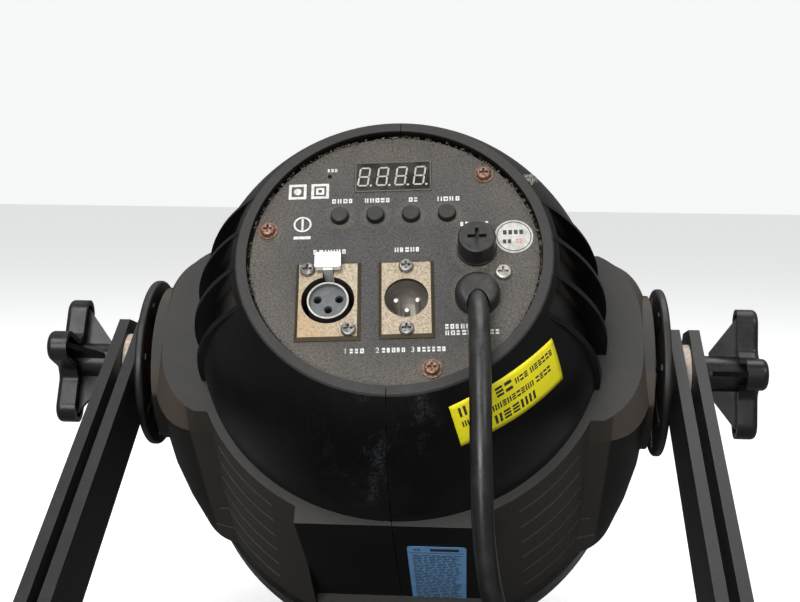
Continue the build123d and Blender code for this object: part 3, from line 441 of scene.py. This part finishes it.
for x, y, radius in raised:
    gap = addNode(tree, "ShaderNodeVectorMath", {0: flatPlace, 1: (x * mm, y * mm, 0.0)},
                  operation="DISTANCE").outputs["Value"]
    dusty = doMath(tree, "MAXIMUM", dusty,
                   remap(tree, gap, (radius + 4.5) * mm, (radius + 0.3) * mm, 0.0, 0.90))
fluff = remap(tree, noise(tree, place, 1100.0, 6.0, 0.8, 0.3), 0.40, 0.62)
broad = remap(tree, noise(tree, place, 40.0, 3.0, 0.5), 0.25, 0.70, 0.45, 1.0)
cover(look, doMath(tree, "MULTIPLY", doMath(tree, "MULTIPLY", dusty, fluff), broad), panelSet["dust"], 0.95)
dent(look, useGroup(look, grainGroup, Scale=1100.0), 0.00030)
dent(look, fluff, 0.00008)
texturedPanel = closeLook(look)
dress(texturedPanel, "rear_panel")

rustyWasher = finish("rustyWasher", (0.27, 0.135, 0.085), 0.55, 0.55, second=(0.15, 0.07, 0.04),
                     secondRough=0.85,
                     patch=(1100.0, 0.40, 0.60), grain=2500.0, grainDepth=0.00006, wear=0.95,
                     wearWidth=0.0005,
                     wearColor=(0.70, 0.55, 0.45), wearRough=0.4, dust=0.2, dustColor=dustBrown)
rustySteel = finish("rustySteel", (0.30, 0.18, 0.135), 0.40, 0.75, second=(0.16, 0.080, 0.05),
                    secondRough=0.75,
                    patch=(1000.0, 0.46, 0.62), grain=2500.0, grainDepth=0.00005, dust=0.25,
                    dustColor=dustBrown)
zincSteel = finish("zincSteel", (0.50, 0.475, 0.44), 0.38, 1.0, second=(0.33, 0.31, 0.28), secondRough=0.55,
                   patch=(500.0, 0.45, 0.6), dust=0.35, dustColor=dustBrown)
darkScrew = finish("darkScrew", (0.33, 0.32, 0.31), 0.42, 0.9, second=(0.16, 0.15, 0.145), secondRough=0.6,
                   patch=(600.0, 0.42, 0.6), grain=2500.0, grainDepth=0.00005, dust=0.4, dustColor=dustBrown)
dress(rustySteel, "panel_screws")
dress(rustyWasher, "panel_washers")
dress(zincSteel, "earth_screw")
dress(darkScrew, "output_screws", "input_screws")

blackTrim = finish("blackTrim", (0.0085, 0.0082, 0.008), 0.40, second=(0.014, 0.0132, 0.0125),
                   secondRough=0.52,
                   patch=(180.0, 0.4, 0.65), dust=0.16, dustColor=dustBrown, facing=0.3, wear=0.4,
                   wearWidth=0.0004, grain=1800.0, grainDepth=0.00004)
dress(blackTrim, "button_mode", "button_setup", "button_up", "button_down", "fuse_cap", "fuse_holder")
# dark window, with dust along its edges
windowSet = {"glass": (0.0075, 0.0090, 0.0088), "haze": (0.013, 0.0145, 0.0140), "middle": (-0.3, 36.7),
             "half": (15.05, 7.0), "edge": 0.75}
look = startLook("displayWindow", windowSet["glass"], 0.20)
tree = look["tree"]
place = headCoords(look, headSet["panelTurn"])
axis = splitCoords(look, place)
cover(look, useGroup(look, patchGroup, Scale=140.0, Low=0.4, High=0.6), windowSet["haze"], 0.34)
inset = [remap(tree, doMath(tree, "ABSOLUTE", doMath(tree, "SUBTRACT", axis[label], middle * mm)),
               (half - windowSet["edge"]) * mm, half * mm)
         for label, middle, half in zip("XY", windowSet["middle"], windowSet["half"])]
border = doMath(tree, "MULTIPLY", doMath(tree, "MAXIMUM", *inset),
                remap(tree, noise(tree, place, 900.0, 4.0, 0.7), 0.30, 0.60, 0.25, 1.0))
cover(look, border, dustBrown, 0.9)
windowLook = closeLook(look)
dress(windowLook, "display_module")

circuitBoard = finish("circuitBoard", (0.015, 0.09, 0.035), 0.40, second=(0.02, 0.13, 0.05), secondRough=0.5,
                      patch=(260.0, 0.45, 0.55))
whiteBoard = finish("whiteBoard", (0.72, 0.72, 0.70), 0.42, second=(0.62, 0.62, 0.60), patch=(90.0, 0.4, 0.6))
bareAluminium = finish("bareAluminium", (0.74, 0.74, 0.75), 0.36, 1.0, second=(0.60, 0.60, 0.61),
                       secondRough=0.48, patch=(120.0, 0.4, 0.6), grain=2200.0, grainDepth=0.00003)
dress(circuitBoard, "control_board", "supply_board")
dress(whiteBoard, "led_board")
dress(bareAluminium, "heat_sink")

plateSet = {"face": (0.46, 0.400, 0.305), "grain": (0.31, 0.245, 0.165), "gold": (0.42, 0.29, 0.16),
            # the slope tone is painted shade for faces turned away from the light
            "slope": (0.115, 0.092, 0.058)}
look = startLook("champagnePlate", plateSet["face"], 0.46, 0.80)
tree = look["tree"]
place = headCoords(look, headSet["panelTurn"])
axis = splitCoords(look, place)
tint = remap(tree, doMath(tree, "ADD", doMath(tree, "MULTIPLY", axis["Y"], 0.7), axis["X"]), -0.034, -0.056)
cover(look, doMath(tree, "MULTIPLY", tint, 0.8), plateSet["gold"])
cover(look, useGroup(look, patchGroup, Scale=1500.0, Low=0.44, High=0.60), plateSet["grain"], 0.6)
facesOut = addNode(tree, "ShaderNodeVectorMath", {0: look["coords"]["Normal"], 1: headUp},
                   operation="DOT_PRODUCT").outputs["Value"]
# painted shade: bevels and sides turned away from head-up are painted darker brown
cover(look, remap(tree, facesOut, 0.96, 0.86), plateSet["slope"], 0.55)
cover(look, useGroup(look, dustGroup, Amount=0.35, Facing=0.2, Scale=900.0), (0.26, 0.19, 0.12), 0.9, 0.0)
dent(look, useGroup(look, grainGroup, Scale=2600.0), 0.00005)
champagne = closeLook(look)
nickel = finish("nickel", (0.42, 0.40, 0.37), 0.40, 1.0, second=(0.33, 0.31, 0.285), secondRough=0.48,
                patch=(120.0, 0.42, 0.66), dust=0.2, dustColor=dustBrown)
pinNickel = finish("pinNickel", (0.80, 0.77, 0.70), 0.35, 0.8, second=(0.66, 0.62, 0.55),
                   patch=(500.0, 0.4, 0.6))
greyInsulator = finish("greyInsulator", (0.135, 0.145, 0.153), 0.60, second=(0.11, 0.118, 0.125),
                       secondRough=0.65,
                       patch=(500.0, 0.4, 0.6), grain=2400.0, grainDepth=0.00004, dust=0.15,
                       dustColor=dustBrown)
darkWell = finish("darkWell", (0.012, 0.012, 0.012), 0.6, second=(0.03, 0.027, 0.024), secondRough=0.8,
                  patch=(300.0, 0.4, 0.6))
brass = finish("brass", (0.62, 0.45, 0.20), 0.34, 1.0, second=(0.45, 0.31, 0.14), secondRough=0.5,
               patch=(260.0, 0.4, 0.6))
brightTab = finish("brightTab", (0.92, 0.92, 0.91), 0.20, 0.35, second=(0.82, 0.82, 0.80), secondRough=0.32,
                   patch=(250.0, 0.45, 0.65))
dress(champagne, "output_plate", "input_plate")
dress(nickel, "output_shell", "input_cup")
dress(pinNickel, "input_pins")
dress(greyInsulator, "output_insert")
dress(darkWell, "output_body", "output_contacts", "microphone", "button_switches")
dress(brightTab, "output_latch")
dress(brass, "knob_insert_right", "knob_insert_left")

rubber = finish("glandRubber", (0.0095, 0.0092, 0.009), 0.42, second=(0.018, 0.017, 0.016), secondRough=0.60,
                patch=(160.0, 0.40, 0.64), grain=1600.0, grainDepth=0.00005, dust=0.28, dustColor=dustBrown,
                facing=0.15, wear=0.35, wearWidth=0.0006)
dress(rubber, "cable_gland", "gland_nut", "plug_relief", "plug_body", "lens_gasket")
blackGloss = finish("blackGloss", (0.0055, 0.0053, 0.0051), 0.27, second=(0.0095, 0.009, 0.0085),
                    secondRough=0.38,
                    patch=(60.0, 0.42, 0.62), dust=0.10, dustColor=dustBrown, facing=0.35, wear=0.35,
                    wearWidth=0.0005, wearColor=(0.05, 0.047, 0.044), grain=1200.0, grainDepth=0.00002)
discPlastic = finish("discPlastic", (0.0065, 0.0058, 0.0052), 0.42, second=(0.011, 0.0098, 0.0088),
                     secondRough=0.55,
                     patch=(70.0, 0.42, 0.62), dust=0.16, dustColor=dustBrown, facing=0.3, wear=0.35,
                     wearWidth=0.0005, wearColor=(0.07, 0.062, 0.055), grain=1400.0, grainDepth=0.00003)
dress(blackGloss, "clamp_knob_right", "clamp_knob_left", "front_ring")
dress(discPlastic, "friction_disc_right", "friction_disc_left")
paintedSteel = finish("paintedSteel", (0.0075, 0.0073, 0.0071), 0.46, second=(0.0095, 0.0092, 0.009),
                      secondRough=0.50, patch=(26.0, 0.35, 0.70), grain=1700.0, grainDepth=0.00003, dust=0.06,
                      dustColor=dustBrown, facing=0.5, wear=0.40, wearWidth=0.0005,
                      wearColor=(0.10, 0.097, 0.094))
dress(paintedSteel, "outer_yoke", "inner_yoke")
tanFibre = finish("tanFibre", (0.50, 0.40, 0.32), 0.9, second=(0.62, 0.55, 0.48), patch=(500.0, 0.38, 0.62),
                  grain=1700.0, grainDepth=0.0002)
redFibre = finish("redFibre", (0.28, 0.07, 0.045), 0.85, second=(0.19, 0.05, 0.035),
                  patch=(500.0, 0.38, 0.62),
                  grain=1700.0, grainDepth=0.0002)
dress(tanFibre, "outer_washers", "inner_washers")
dress(redFibre, "boss_washers")
dress(zincSteel, "pivot_bolt_right", "pivot_bolt_left", "board_posts", "plug_blades")

look = startLook("clearLens", (0.95, 0.96, 0.97), 0.06, 0.0, Transmission_Weight=1.0, IOR=1.49)
dent(look, useGroup(look, grainGroup, Scale=260.0), 0.0001, 0.4)
clearLens = closeLook(look)
dress(clearLens, "front_lens", "led_optics", "fuse")
emitterLook = finish("ledEmitter", (0.75, 0.62, 0.22), 0.35, second=(0.80, 0.70, 0.36),
                     patch=(700.0, 0.4, 0.6))
dress(emitterLook, "led_emitters")
capacitorLook = finish("capacitorSleeve", (0.02, 0.03, 0.09), 0.30, second=(0.03, 0.04, 0.11),
                       patch=(200.0, 0.4, 0.6), fixed={"Coat_Weight": 0.3})
dress(capacitorLook, "supply_capacitors")
tapeLook = finish("transformerTape", (0.60, 0.45, 0.08), 0.42, second=(0.50, 0.36, 0.06),
                  patch=(160.0, 0.4, 0.6))
dress(tapeLook, "supply_transformer")

cordLook = finish("cordRubber", (0.0080, 0.0079, 0.0077), 0.30, second=(0.013, 0.0127, 0.0125),
                  secondRough=0.46,
                  patch=(90.0, 0.42, 0.66), grain=1500.0, grainDepth=0.00003, dust=0.16,
                  dustColor=(0.22, 0.21, 0.20), facing=0.35, dustScale=700.0)
cordCurve.materials.append(cordLook)
print("finishes made")

# marks printed on the panel: plain generic signs and numbers
printWhite = finish("printWhite", (0.74, 0.735, 0.72), 0.6, second=(0.55, 0.54, 0.52), secondRough=0.7,
                    patch=(700.0, 0.42, 0.62))
markSet = {"low": 0.01, "high": 0.07, "seed": 7, "weld": 1e-7, "capShare": 1.38,
           # x of the left end, y of the foot, number of strokes, height, whole width
           "rows": ((-24.25, 24.7, 4, 2.0, 8.2), (-11.4, 24.6, 5, 2.0, 9.8), (5.8, 24.5, 2, 2.0, 3.6),
                    (17.0, 24.4, 4, 2.0, 8.9), (-26.3, 39.7, 3, 1.5, 3.8), (-31.0, 1.5, 6, 2.0, 12.7),
                    (0.2, 1.6, 5, 2.0, 9.5), (25.6, 12.5, 6, 1.9, 11.0), (18.7, -32.3, 7, 2.0, 13.0),
                    (18.7, -34.9, 10, 2.0, 20.0))}


def strokeRow(shape, dice, x, y, count, height, whole):
    pitch = (whole + height * 0.28) / count
    for k in range(count):
        left, wide = x + k * pitch, (pitch - height * 0.28) * dice.choice((1.0, 0.9, 0.8))
        kind = dice.randrange(3)
        low, high = markSet["low"], markSet["high"]
        thin = height * 0.26
        if kind == 0:
            addBlock(shape, panelFrame, left, left + wide, y, y + thin, low, high)
            addBlock(shape, panelFrame, left, left + wide, y + height - thin, y + height, low, high)
            addBlock(shape, panelFrame, left, left + thin, y + thin, y + height - thin, low, high)
            addBlock(shape, panelFrame, left + wide - thin, left + wide, y + thin,
                     y + height - thin, low, high)
        elif kind == 1:
            addBlock(shape, panelFrame, left, left + wide, y, y + height * 0.4, low, high)
            addBlock(shape, panelFrame, left, left + wide, y + height * 0.6, y + height, low, high)
        else:
            addBlock(shape, panelFrame, left, left + thin, y, y + height, low, high)
            addBlock(shape, panelFrame, left + wide - thin, left + wide, y, y + height, low, high)


shape = bmesh.new()
dice = random.Random(markSet["seed"])
for row in markSet["rows"]:
    strokeRow(shape, dice, *row)
# double square, ring with a bar, and the bar under it
low, high = markSet["low"], markSet["high"]
for x, y, size, thick in ((-41.5, 27.2, 7.0, 1.1), (-32.6, 27.2, 7.0, 1.1), (-30.7, 29.1, 3.2, 0.9)):
    for x0, x1, y0, y1 in ((x, x + size, y, y + thick), (x, x + size, y + size - thick, y + size),
                           (x, x + thick, y + thick, y + size - thick),
                           (x + size - thick, x + size, y + thick, y + size - thick)):
        addBlock(shape, panelFrame, x0, x1, y0, y1, low, high)
addDisc(shape, panelFrame, -38.0, 30.7, 1.5, low, high, 24)
addDisc(shape, panelFrame, -35.6, 15.4, 3.5, low, high, 36, 2.8)
addBlock(shape, panelFrame, -36.0, -35.2, 12.9, 17.9, low, high)
addBlock(shape, panelFrame, -38.9, -32.3, 8.6, 9.9, low, high)
keepPiece("panelMarks", closeShape(shape), printWhite, "head", smooth=False)


def addNumber(shape, place, text, x, y, height, thick, low=markSet["low"]):
    data = bpy.data.curves.new("number", "FONT")
    data.body = text
    data.size = height * markSet["capShare"] * mm
    data.extrude = thick * mm / 2
    made = bpy.data.objects.new("number", data)
    bpy.context.scene.collection.objects.link(made)
    bpy.context.view_layer.update()
    mesh = bpy.data.meshes.new_from_object(made)
    mesh.transform(place @ Matrix.Translation((x * mm, y * mm, (low + thick / 2) * mm)))
    shape.from_mesh(mesh)
    bpy.data.meshes.remove(mesh)
    bpy.data.objects.remove(made)


shape = bmesh.new()
for text, x in (("1", -18.9), ("2", -7.1), ("3", 5.9)):
    addNumber(shape, panelFrame, text, x, -41.4, 2.2, 0.06)
for x, count, whole in ((-16.5, 3, 5.2), (-4.7, 5, 8.6), (8.3, 6, 10.4)):
    strokeRow(shape, dice, x, -41.4, count, 1.9, whole)
keepPiece("panelNumbers", closeShape(shape, markSet["weld"]), printWhite, "head")

# display: unlit figure eights behind the window
digitSet = {"centre": (-0.3, 36.7), "pitch": 7.3, "wide": 3.8, "tall": 8.3, "stroke": 0.68, "lean": 0.14,
            "low": 0.32, "high": 0.38}
segmentLook = finish("segment", (0.50, 0.44, 0.36), 0.5, second=(0.40, 0.35, 0.28), patch=(900.0, 0.4, 0.6))
shape = bmesh.new()
for k in range(4):
    cx = digitSet["centre"][0] + (k - 1.5) * digitSet["pitch"] - 0.5
    cy = digitSet["centre"][1]
    w, h, s = digitSet["wide"] / 2, digitSet["tall"] / 2, digitSet["stroke"] / 2
    bars = [((-w, y), (w, y)) for y in (-h, 0.0, h)]
    bars += [((x, y), (x, y + h)) for x in (-w, w) for y in (-h, 0.0)]
    for start, end in bars:
        a, b = Vector(start), Vector(end)
        along = (b - a).normalized()
        across = Vector((-along.y, along.x)) * s
        a, b = a + along * 0.14, b - along * 0.14
        ring = (a, a + along * s + across, b - along * s + across, b, b - along * s - across,
                a + along * s - across)
        addOutline(shape, panelFrame, [(cx + p.x + p.y * digitSet["lean"], cy + p.y) for p in ring],
                   digitSet["low"], digitSet["high"])
    addDisc(shape, panelFrame, cx + w + 0.75, cy - h - 0.05, 0.5, digitSet["low"], digitSet["high"], 12)
keepPiece("displaySegments", closeShape(shape), segmentLook, "head")
print("panel marks and digits made")

# stickers
domeSet = {"shoulderR": 84.2, "shoulderZ": -65.3, "rimR": 60.0}
arcCentre = (domeSet["shoulderR"] ** 2 - domeSet["rimR"] ** 2 - domeSet["shoulderZ"] ** 2) / (
    2 * (domeSet["shoulderR"] - domeSet["rimR"]))
arcRadius = domeSet["shoulderR"] - arcCentre


def onDome(point, lift):
    # moves a point in head axes, in millimetres, straight out onto the dome
    span = math.hypot(point.x, point.y)
    flatSpot = Vector((span - arcCentre, point.z - domeSet["shoulderZ"]))
    flatSpot = flatSpot.normalized() * (arcRadius + lift)
    radius = arcCentre + flatSpot.x
    return Vector((point.x / span * radius, point.y / span * radius, domeSet["shoulderZ"] + flatSpot.y))


def curvedSheet(corners, across, down, lift, thick, surface):
    # a grid between four corners, pressed onto a surface and given its thickness
    shape = bmesh.new()
    bmesh.ops.create_grid(shape, x_segments=across, y_segments=down, size=0.5)
    a, b, c, d = [Vector(corner) for corner in corners]
    for vert in shape.verts:
        u, v = vert.co.x + 0.5, 0.5 - vert.co.y
        point = (a * (1 - u) + b * u) * (1 - v) + (d * (1 - u) + c * u) * v
        vert.co = headFrame @ (surface(point, lift) * mm)
    raised = bmesh.ops.extrude_face_region(shape, geom=list(shape.faces))["geom"]
    for vert in [g for g in raised if isinstance(g, bmesh.types.BMVert)]:
        point = headFrame.inverted() @ vert.co / mm
        vert.co = headFrame @ (surface(point, lift + thick) * mm)
    return closeShape(shape)


labelCorners = ((22.4, -61.3, -6.6), (59.7, -31.1, -9.5), (64.7, -39.8, -25.4), (27.0, -69.6, -22.5))


def inLabel(corners, u0, u1, v0, v1):
    a, b, c, d = [Vector(corner) for corner in corners]
    return [(a * (1 - u) + b * u) * (1 - v) + (d * (1 - u) + c * u) * v
            for u, v in ((u0, v0), (u1, v0), (u1, v1), (u0, v1))]


yellowLook = finish("yellowLabel", (0.86, 0.78, 0.010), 0.45, second=(0.80, 0.71, 0.012), secondRough=0.55,
                    patch=(120.0, 0.42, 0.62), grain=900.0, grainDepth=0.00003, dust=0.12,
                    dustColor=dustBrown)
inkLook = finish("labelInk", (0.02, 0.02, 0.018), 0.5, second=(0.035, 0.033, 0.03), patch=(700.0, 0.4, 0.6))
keepPiece("yellowLabel", curvedSheet(labelCorners, 24, 10, 0.05, 0.12, onDome), yellowLook, "head",
          smooth=True)
# top and foot, left and right ends, width of a letter, each as a share of the label
labelRows = ((0.12, 0.33, 0.06, 0.52, 0.062), (0.17, 0.29, 0.55, 0.95, 0.033),
             (0.44, 0.57, 0.06, 0.94, 0.033),
             (0.67, 0.87, 0.20, 0.72, 0.060))
# bars that stand for a letter: left, right, top and foot, as a share of its place
letterShapes = (((0.0, 1.0, 0.0, 0.34), (0.0, 1.0, 0.66, 1.0)),
                ((0.0, 0.34, 0.0, 1.0), (0.66, 1.0, 0.0, 1.0)),
                ((0.0, 1.0, 0.0, 0.24), (0.0, 1.0, 0.38, 0.62), (0.0, 1.0, 0.76, 1.0)))
dice = random.Random(11)
ink = bmesh.new()
for top, foot, left, right, wide in labelRows:
    while left + wide < right:
        for x0, x1, y0, y1 in dice.choice(letterShapes):
            corners = inLabel(labelCorners, left + x0 * wide, left + x1 * wide,
                              top + (foot - top) * y0, top + (foot - top) * y1)
            sheet = curvedSheet(corners, 1, 1, 0.18, 0.05, onDome)
            mesh = bpy.data.meshes.new("stroke")
            sheet.to_mesh(mesh)
            sheet.free()
            ink.from_mesh(mesh)
            bpy.data.meshes.remove(mesh)
        left += wide * dice.choice((1.3, 1.3, 1.3, 1.9))
keepPiece("yellowLabelBars", ink, inkLook, "head")

blueSet = {"x": (5.0, 29.3), "z": (-89.0, -162.3), "y": -86.0, "corner": 2.0, "low": 0.18, "high": 0.22,
           "seed": 5, "words": (1.0, 4.2), "gap": 0.8, "line": 2.2, "tall": 0.9}
blueLook = finish("blueLabel", (0.23, 0.50, 0.88), 0.42, second=(0.19, 0.44, 0.80), secondRough=0.5,
                  patch=(150.0, 0.4, 0.62), grain=900.0, grainDepth=0.00003, dust=0.1, dustColor=dustBrown)
flatFrame = headFrame @ Matrix.Translation((0, blueSet["y"] * mm, 0))
flatFrame = flatFrame @ Matrix.Rotation(math.radians(90), 4, "X")
shape = bmesh.new()
x0, x1 = blueSet["x"]
z1, z0 = blueSet["z"]
addBlock(shape, flatFrame, x0, x1, z0, z1, 0.05, 0.17)
edges = [e for e in shape.edges if abs((e.verts[0].co - e.verts[1].co).normalized().dot(
    (flatFrame.to_3x3() @ Vector((0, 0, 1))))) > 0.9]
bmesh.ops.bevel(shape, geom=edges, offset=blueSet["corner"] * mm, affect="EDGES", segments=4, profile=0.5,
                material=-1)
keepPiece("blueLabel", closeShape(shape), blueLook, "head")
shape = bmesh.new()
dice = random.Random(blueSet["seed"])
low, high = blueSet["low"], blueSet["high"]
addBlock(shape, flatFrame, x0 + 9.5, x1 - 3.0, z1 - 5.6, z1 - 2.4, low, high)
addDisc(shape, flatFrame, x0 + 4.0, z1 - 4.0, 1.4, low, high, 24, 0.8)
addBlock(shape, flatFrame, x0 + 1.2, x1 - 1.2, z1 - 8.2, z1 - 7.6, low, high)
y = z1 - 10.8
while y > z0 + 3:
    x = x0 + 2.0
    while x < x1 - 4:
        wide = dice.uniform(*blueSet["words"])
        addBlock(shape, flatFrame, x, min(x + wide, x1 - 2.0), y - blueSet["tall"], y, low, high)
        x += wide + blueSet["gap"]
    y -= blueSet["line"]
keepPiece("blueLabelBars", closeShape(shape), inkLook, "head")

roundSet = {"x": 45.9, "y": 7.1, "radius": 7.4, "ring": 6.7, "hole": 6.35, "low": 0.13, "high": 0.16,
            # offset, pitch, width, foot, top and number of the plain bars in each row
            "bars": ((-4.1, 2.1, 1.4, 0.9, 2.9, 4), (-4.3, 1.9, 1.3, -3.1, -1.3, 2))}
silverLook = finish("silverSticker", (0.62, 0.61, 0.58), 0.5, 0.35, second=(0.50, 0.49, 0.46),
                    secondRough=0.6,
                    patch=(420.0, 0.4, 0.62), grain=2000.0, grainDepth=0.00003, dust=0.35,
                    dustColor=dustBrown)
redInk = finish("redInk", (0.62, 0.06, 0.03), 0.5, second=(0.50, 0.05, 0.03), patch=(700.0, 0.4, 0.6))
shape = bmesh.new()
addDisc(shape, panelFrame, roundSet["x"], roundSet["y"], roundSet["radius"], 0.02, 0.12, 64)
keepPiece("roundSticker", closeShape(shape), silverLook, "head")
shape = bmesh.new()
low, high = roundSet["low"], roundSet["high"]
addDisc(shape, panelFrame, roundSet["x"], roundSet["y"], roundSet["ring"], low, high, 64, roundSet["hole"])
for offset, pitch, wide, foot, top, count in roundSet["bars"]:
    for k in range(count):
        left = roundSet["x"] + offset + k * pitch
        addBlock(shape, panelFrame, left, left + wide, roundSet["y"] + foot, roundSet["y"] + top, low, high)
keepPiece("roundStickerInk", closeShape(shape), inkLook, "head")
shape = bmesh.new()
addNumber(shape, panelFrame, "02", roundSet["x"] + 0.4, roundSet["y"] - 3.1, 2.0, 0.16)
keepPiece("roundStickerNumber", closeShape(shape, markSet["weld"]), redInk, "head")
print("stickers made")

# fluff in the gap round the panel, and a wisp of cobweb on the rim
fluffSet = {"count": 900, "radius": (55.0, 56.5), "z": (-1.2, 0.5), "size": (0.22, 0.55), "seed": 3,
            "least": 0.35, "long": (0.7, 2.4), "flat": (0.5, 0.9), "rough": 0.3}
fluffLook = finish("fluff", (0.17, 0.14, 0.11), 0.95, second=(0.045, 0.038, 0.03), patch=(700.0, 0.40, 0.58),
                   grain=2600.0, grainDepth=0.0002)
shape = bmesh.new()
dice = random.Random(fluffSet["seed"])
for k in range(fluffSet["count"]):
    angle = dice.uniform(0, 2 * math.pi)
    clump = 0.5 + 0.5 * math.sin(3 * angle + 0.6) * math.sin(7 * angle)
    if dice.random() > fluffSet["least"] + (1 - fluffSet["least"]) * clump:
        continue
    radius = dice.uniform(*fluffSet["radius"]) * mm
    size = dice.uniform(*fluffSet["size"]) * mm
    spot = Matrix.Translation((radius * math.cos(angle), radius * math.sin(angle),
                               dice.uniform(*fluffSet["z"]) * mm))
    turn = Matrix.Rotation(dice.uniform(0, 6.28), 4, "Z") @ Matrix.Rotation(dice.uniform(0, 3.1), 4, "X")
    scale = Matrix.Diagonal((size * dice.uniform(*fluffSet["long"]), size,
                             size * dice.uniform(*fluffSet["flat"]), 1.0))
    verts = bmesh.ops.create_icosphere(shape, subdivisions=1, radius=1.0,
                                       matrix=panelFrame @ spot @ turn @ scale)["verts"]
    for vert in verts:
        vert.co += Vector([dice.uniform(-fluffSet["rough"], fluffSet["rough"]) * size for _ in range(3)])
keepPiece("gapFluff", closeShape(shape), fluffLook, "head", smooth=True)

webSet = {"centre": (51.6, 34.3, -0.8), "spread": (1.5, 1.0, 0.5), "strands": 60, "seed": 21,
          "thread": 0.09, "points": 10, "bend": 0.55, "step": 0.45, "pull": 0.10, "specks": 16,
          "speckSize": (0.15, 0.45), "speckLong": 1.6}
webLook = finish("cobweb", (0.42, 0.40, 0.37), 0.95, second=(0.26, 0.24, 0.21), patch=(500.0, 0.4, 0.6))
webCurve = bpy.data.curves.new("cobwebLines", "CURVE")
webCurve.dimensions = "3D"
webCurve.bevel_depth = webSet["thread"] * mm
webCurve.bevel_resolution = 1
dice = random.Random(webSet["seed"])
for k in range(webSet["strands"]):
    line = webCurve.splines.new("POLY")
    line.points.add(webSet["points"] - 1)
    point = Vector(webSet["centre"]) + Vector([dice.gauss(0, 1) * s for s in webSet["spread"]])
    step = Vector([dice.gauss(0, 1) for _ in range(3)]).normalized()
    for spot in line.points:
        spot.co = (*(headFrame @ (point * mm)), 1.0)
        step = (step + Vector([dice.gauss(0, webSet["bend"]) for _ in range(3)])).normalized()
        point = point + step * webSet["step"]
        point += (Vector(webSet["centre"]) - point) * webSet["pull"]
webObject = bpy.data.objects.new("cobwebLines", webCurve)
bpy.context.scene.collection.objects.link(webObject)
bpy.context.view_layer.update()
shape = bmesh.new()
webMesh = bpy.data.meshes.new_from_object(webObject.evaluated_get(bpy.context.evaluated_depsgraph_get()))
shape.from_mesh(webMesh)
bpy.data.objects.remove(webObject)
for k in range(webSet["specks"]):
    spot = Vector(webSet["centre"]) + Vector([dice.gauss(0, 1) * s for s in webSet["spread"]])
    size = dice.uniform(*webSet["speckSize"]) * mm
    scale = Matrix.Diagonal((size * webSet["speckLong"], size, size, 1.0))
    place = headFrame @ Matrix.Translation(spot * mm) @ scale
    bmesh.ops.create_icosphere(shape, subdivisions=1, radius=1.0, matrix=place)
keepPiece("cobweb", shape, webLook, "head", smooth=True)
print("dust made")

# floor and light, which are not part of the object
floorShape = bmesh.new()
bmesh.ops.create_grid(floorShape, x_segments=1, y_segments=1, size=12.0)
floorMesh = bpy.data.meshes.new("floor")
floorShape.to_mesh(floorMesh)
floorShape.free()
floor = bpy.data.objects.new("floor", floorMesh)
bpy.context.scene.collection.objects.link(floor)
floorSet = {"seen": (0.90, 0.90, 0.895, 1.0), "bounce": (0.20, 0.20, 0.198, 1.0), "glow": 0.55}
floorLook = startLook("floorPaper", (0.9, 0.9, 0.9), 0.9)
seen = addNode(floorLook["tree"], "ShaderNodeLightPath").outputs["Is Camera Ray"]
paper = addNode(floorLook["tree"], "ShaderNodeMix", {0: seen, 6: floorSet["bounce"], 7: floorSet["seen"]},
                data_type="RGBA")
floorLook["Base Color"] = paper.outputs[2]
floorLook["shader"].inputs["Emission Color"].default_value = floorSet["seen"]
floorLook["tree"].links.new(doMath(floorLook["tree"], "MULTIPLY", seen, floorSet["glow"]),
                            floorLook["shader"].inputs["Emission Strength"])
floorMesh.materials.append(closeLook(floorLook))

worldSet = {"seen": (0.93, 0.935, 0.94, 1.0), "light": (0.95, 0.97, 1.0, 1.0), "strength": 0.30}
world = bpy.data.worlds.new("studio")
bpy.context.scene.world = world
world.use_nodes = True
worldTree = world.node_tree
backdrop = worldTree.nodes["Background"]
seen = addNode(worldTree, "ShaderNodeLightPath").outputs["Is Camera Ray"]
tint = addNode(worldTree, "ShaderNodeMix", {0: seen, 6: worldSet["light"], 7: worldSet["seen"]},
               data_type="RGBA")
worldTree.links.new(tint.outputs[2], backdrop.inputs["Color"])
worldTree.links.new(remap(worldTree, seen, 0.0, 1.0, worldSet["strength"], 1.0, False),
                    backdrop.inputs["Strength"])

lightSet = (("keyLight", (-0.5, -1.1, 1.5), 1.0, 13.0), ("fillLight", (1.0, -0.9, 1.1), 0.9, 6.0),
            ("topLight", (0.1, 0.4, 1.6), 1.2, 10.0), ("frontLight", (-0.25, -1.5, 0.45), 0.9, 15.0))
for name, spot, size, power in lightSet:
    lamp = bpy.data.lights.new(name, "AREA")
    lamp.shape, lamp.size, lamp.energy = "DISK", size, power
    holder = bpy.data.objects.new(name, lamp)
    holder.location = spot
    holder.rotation_euler = (Vector((0, 0, 0.15)) - Vector(spot)).to_track_quat("-Z", "Y").to_euler()
    bpy.context.scene.collection.objects.link(holder)
print("stage lit")

bpy.context.view_layer.update()
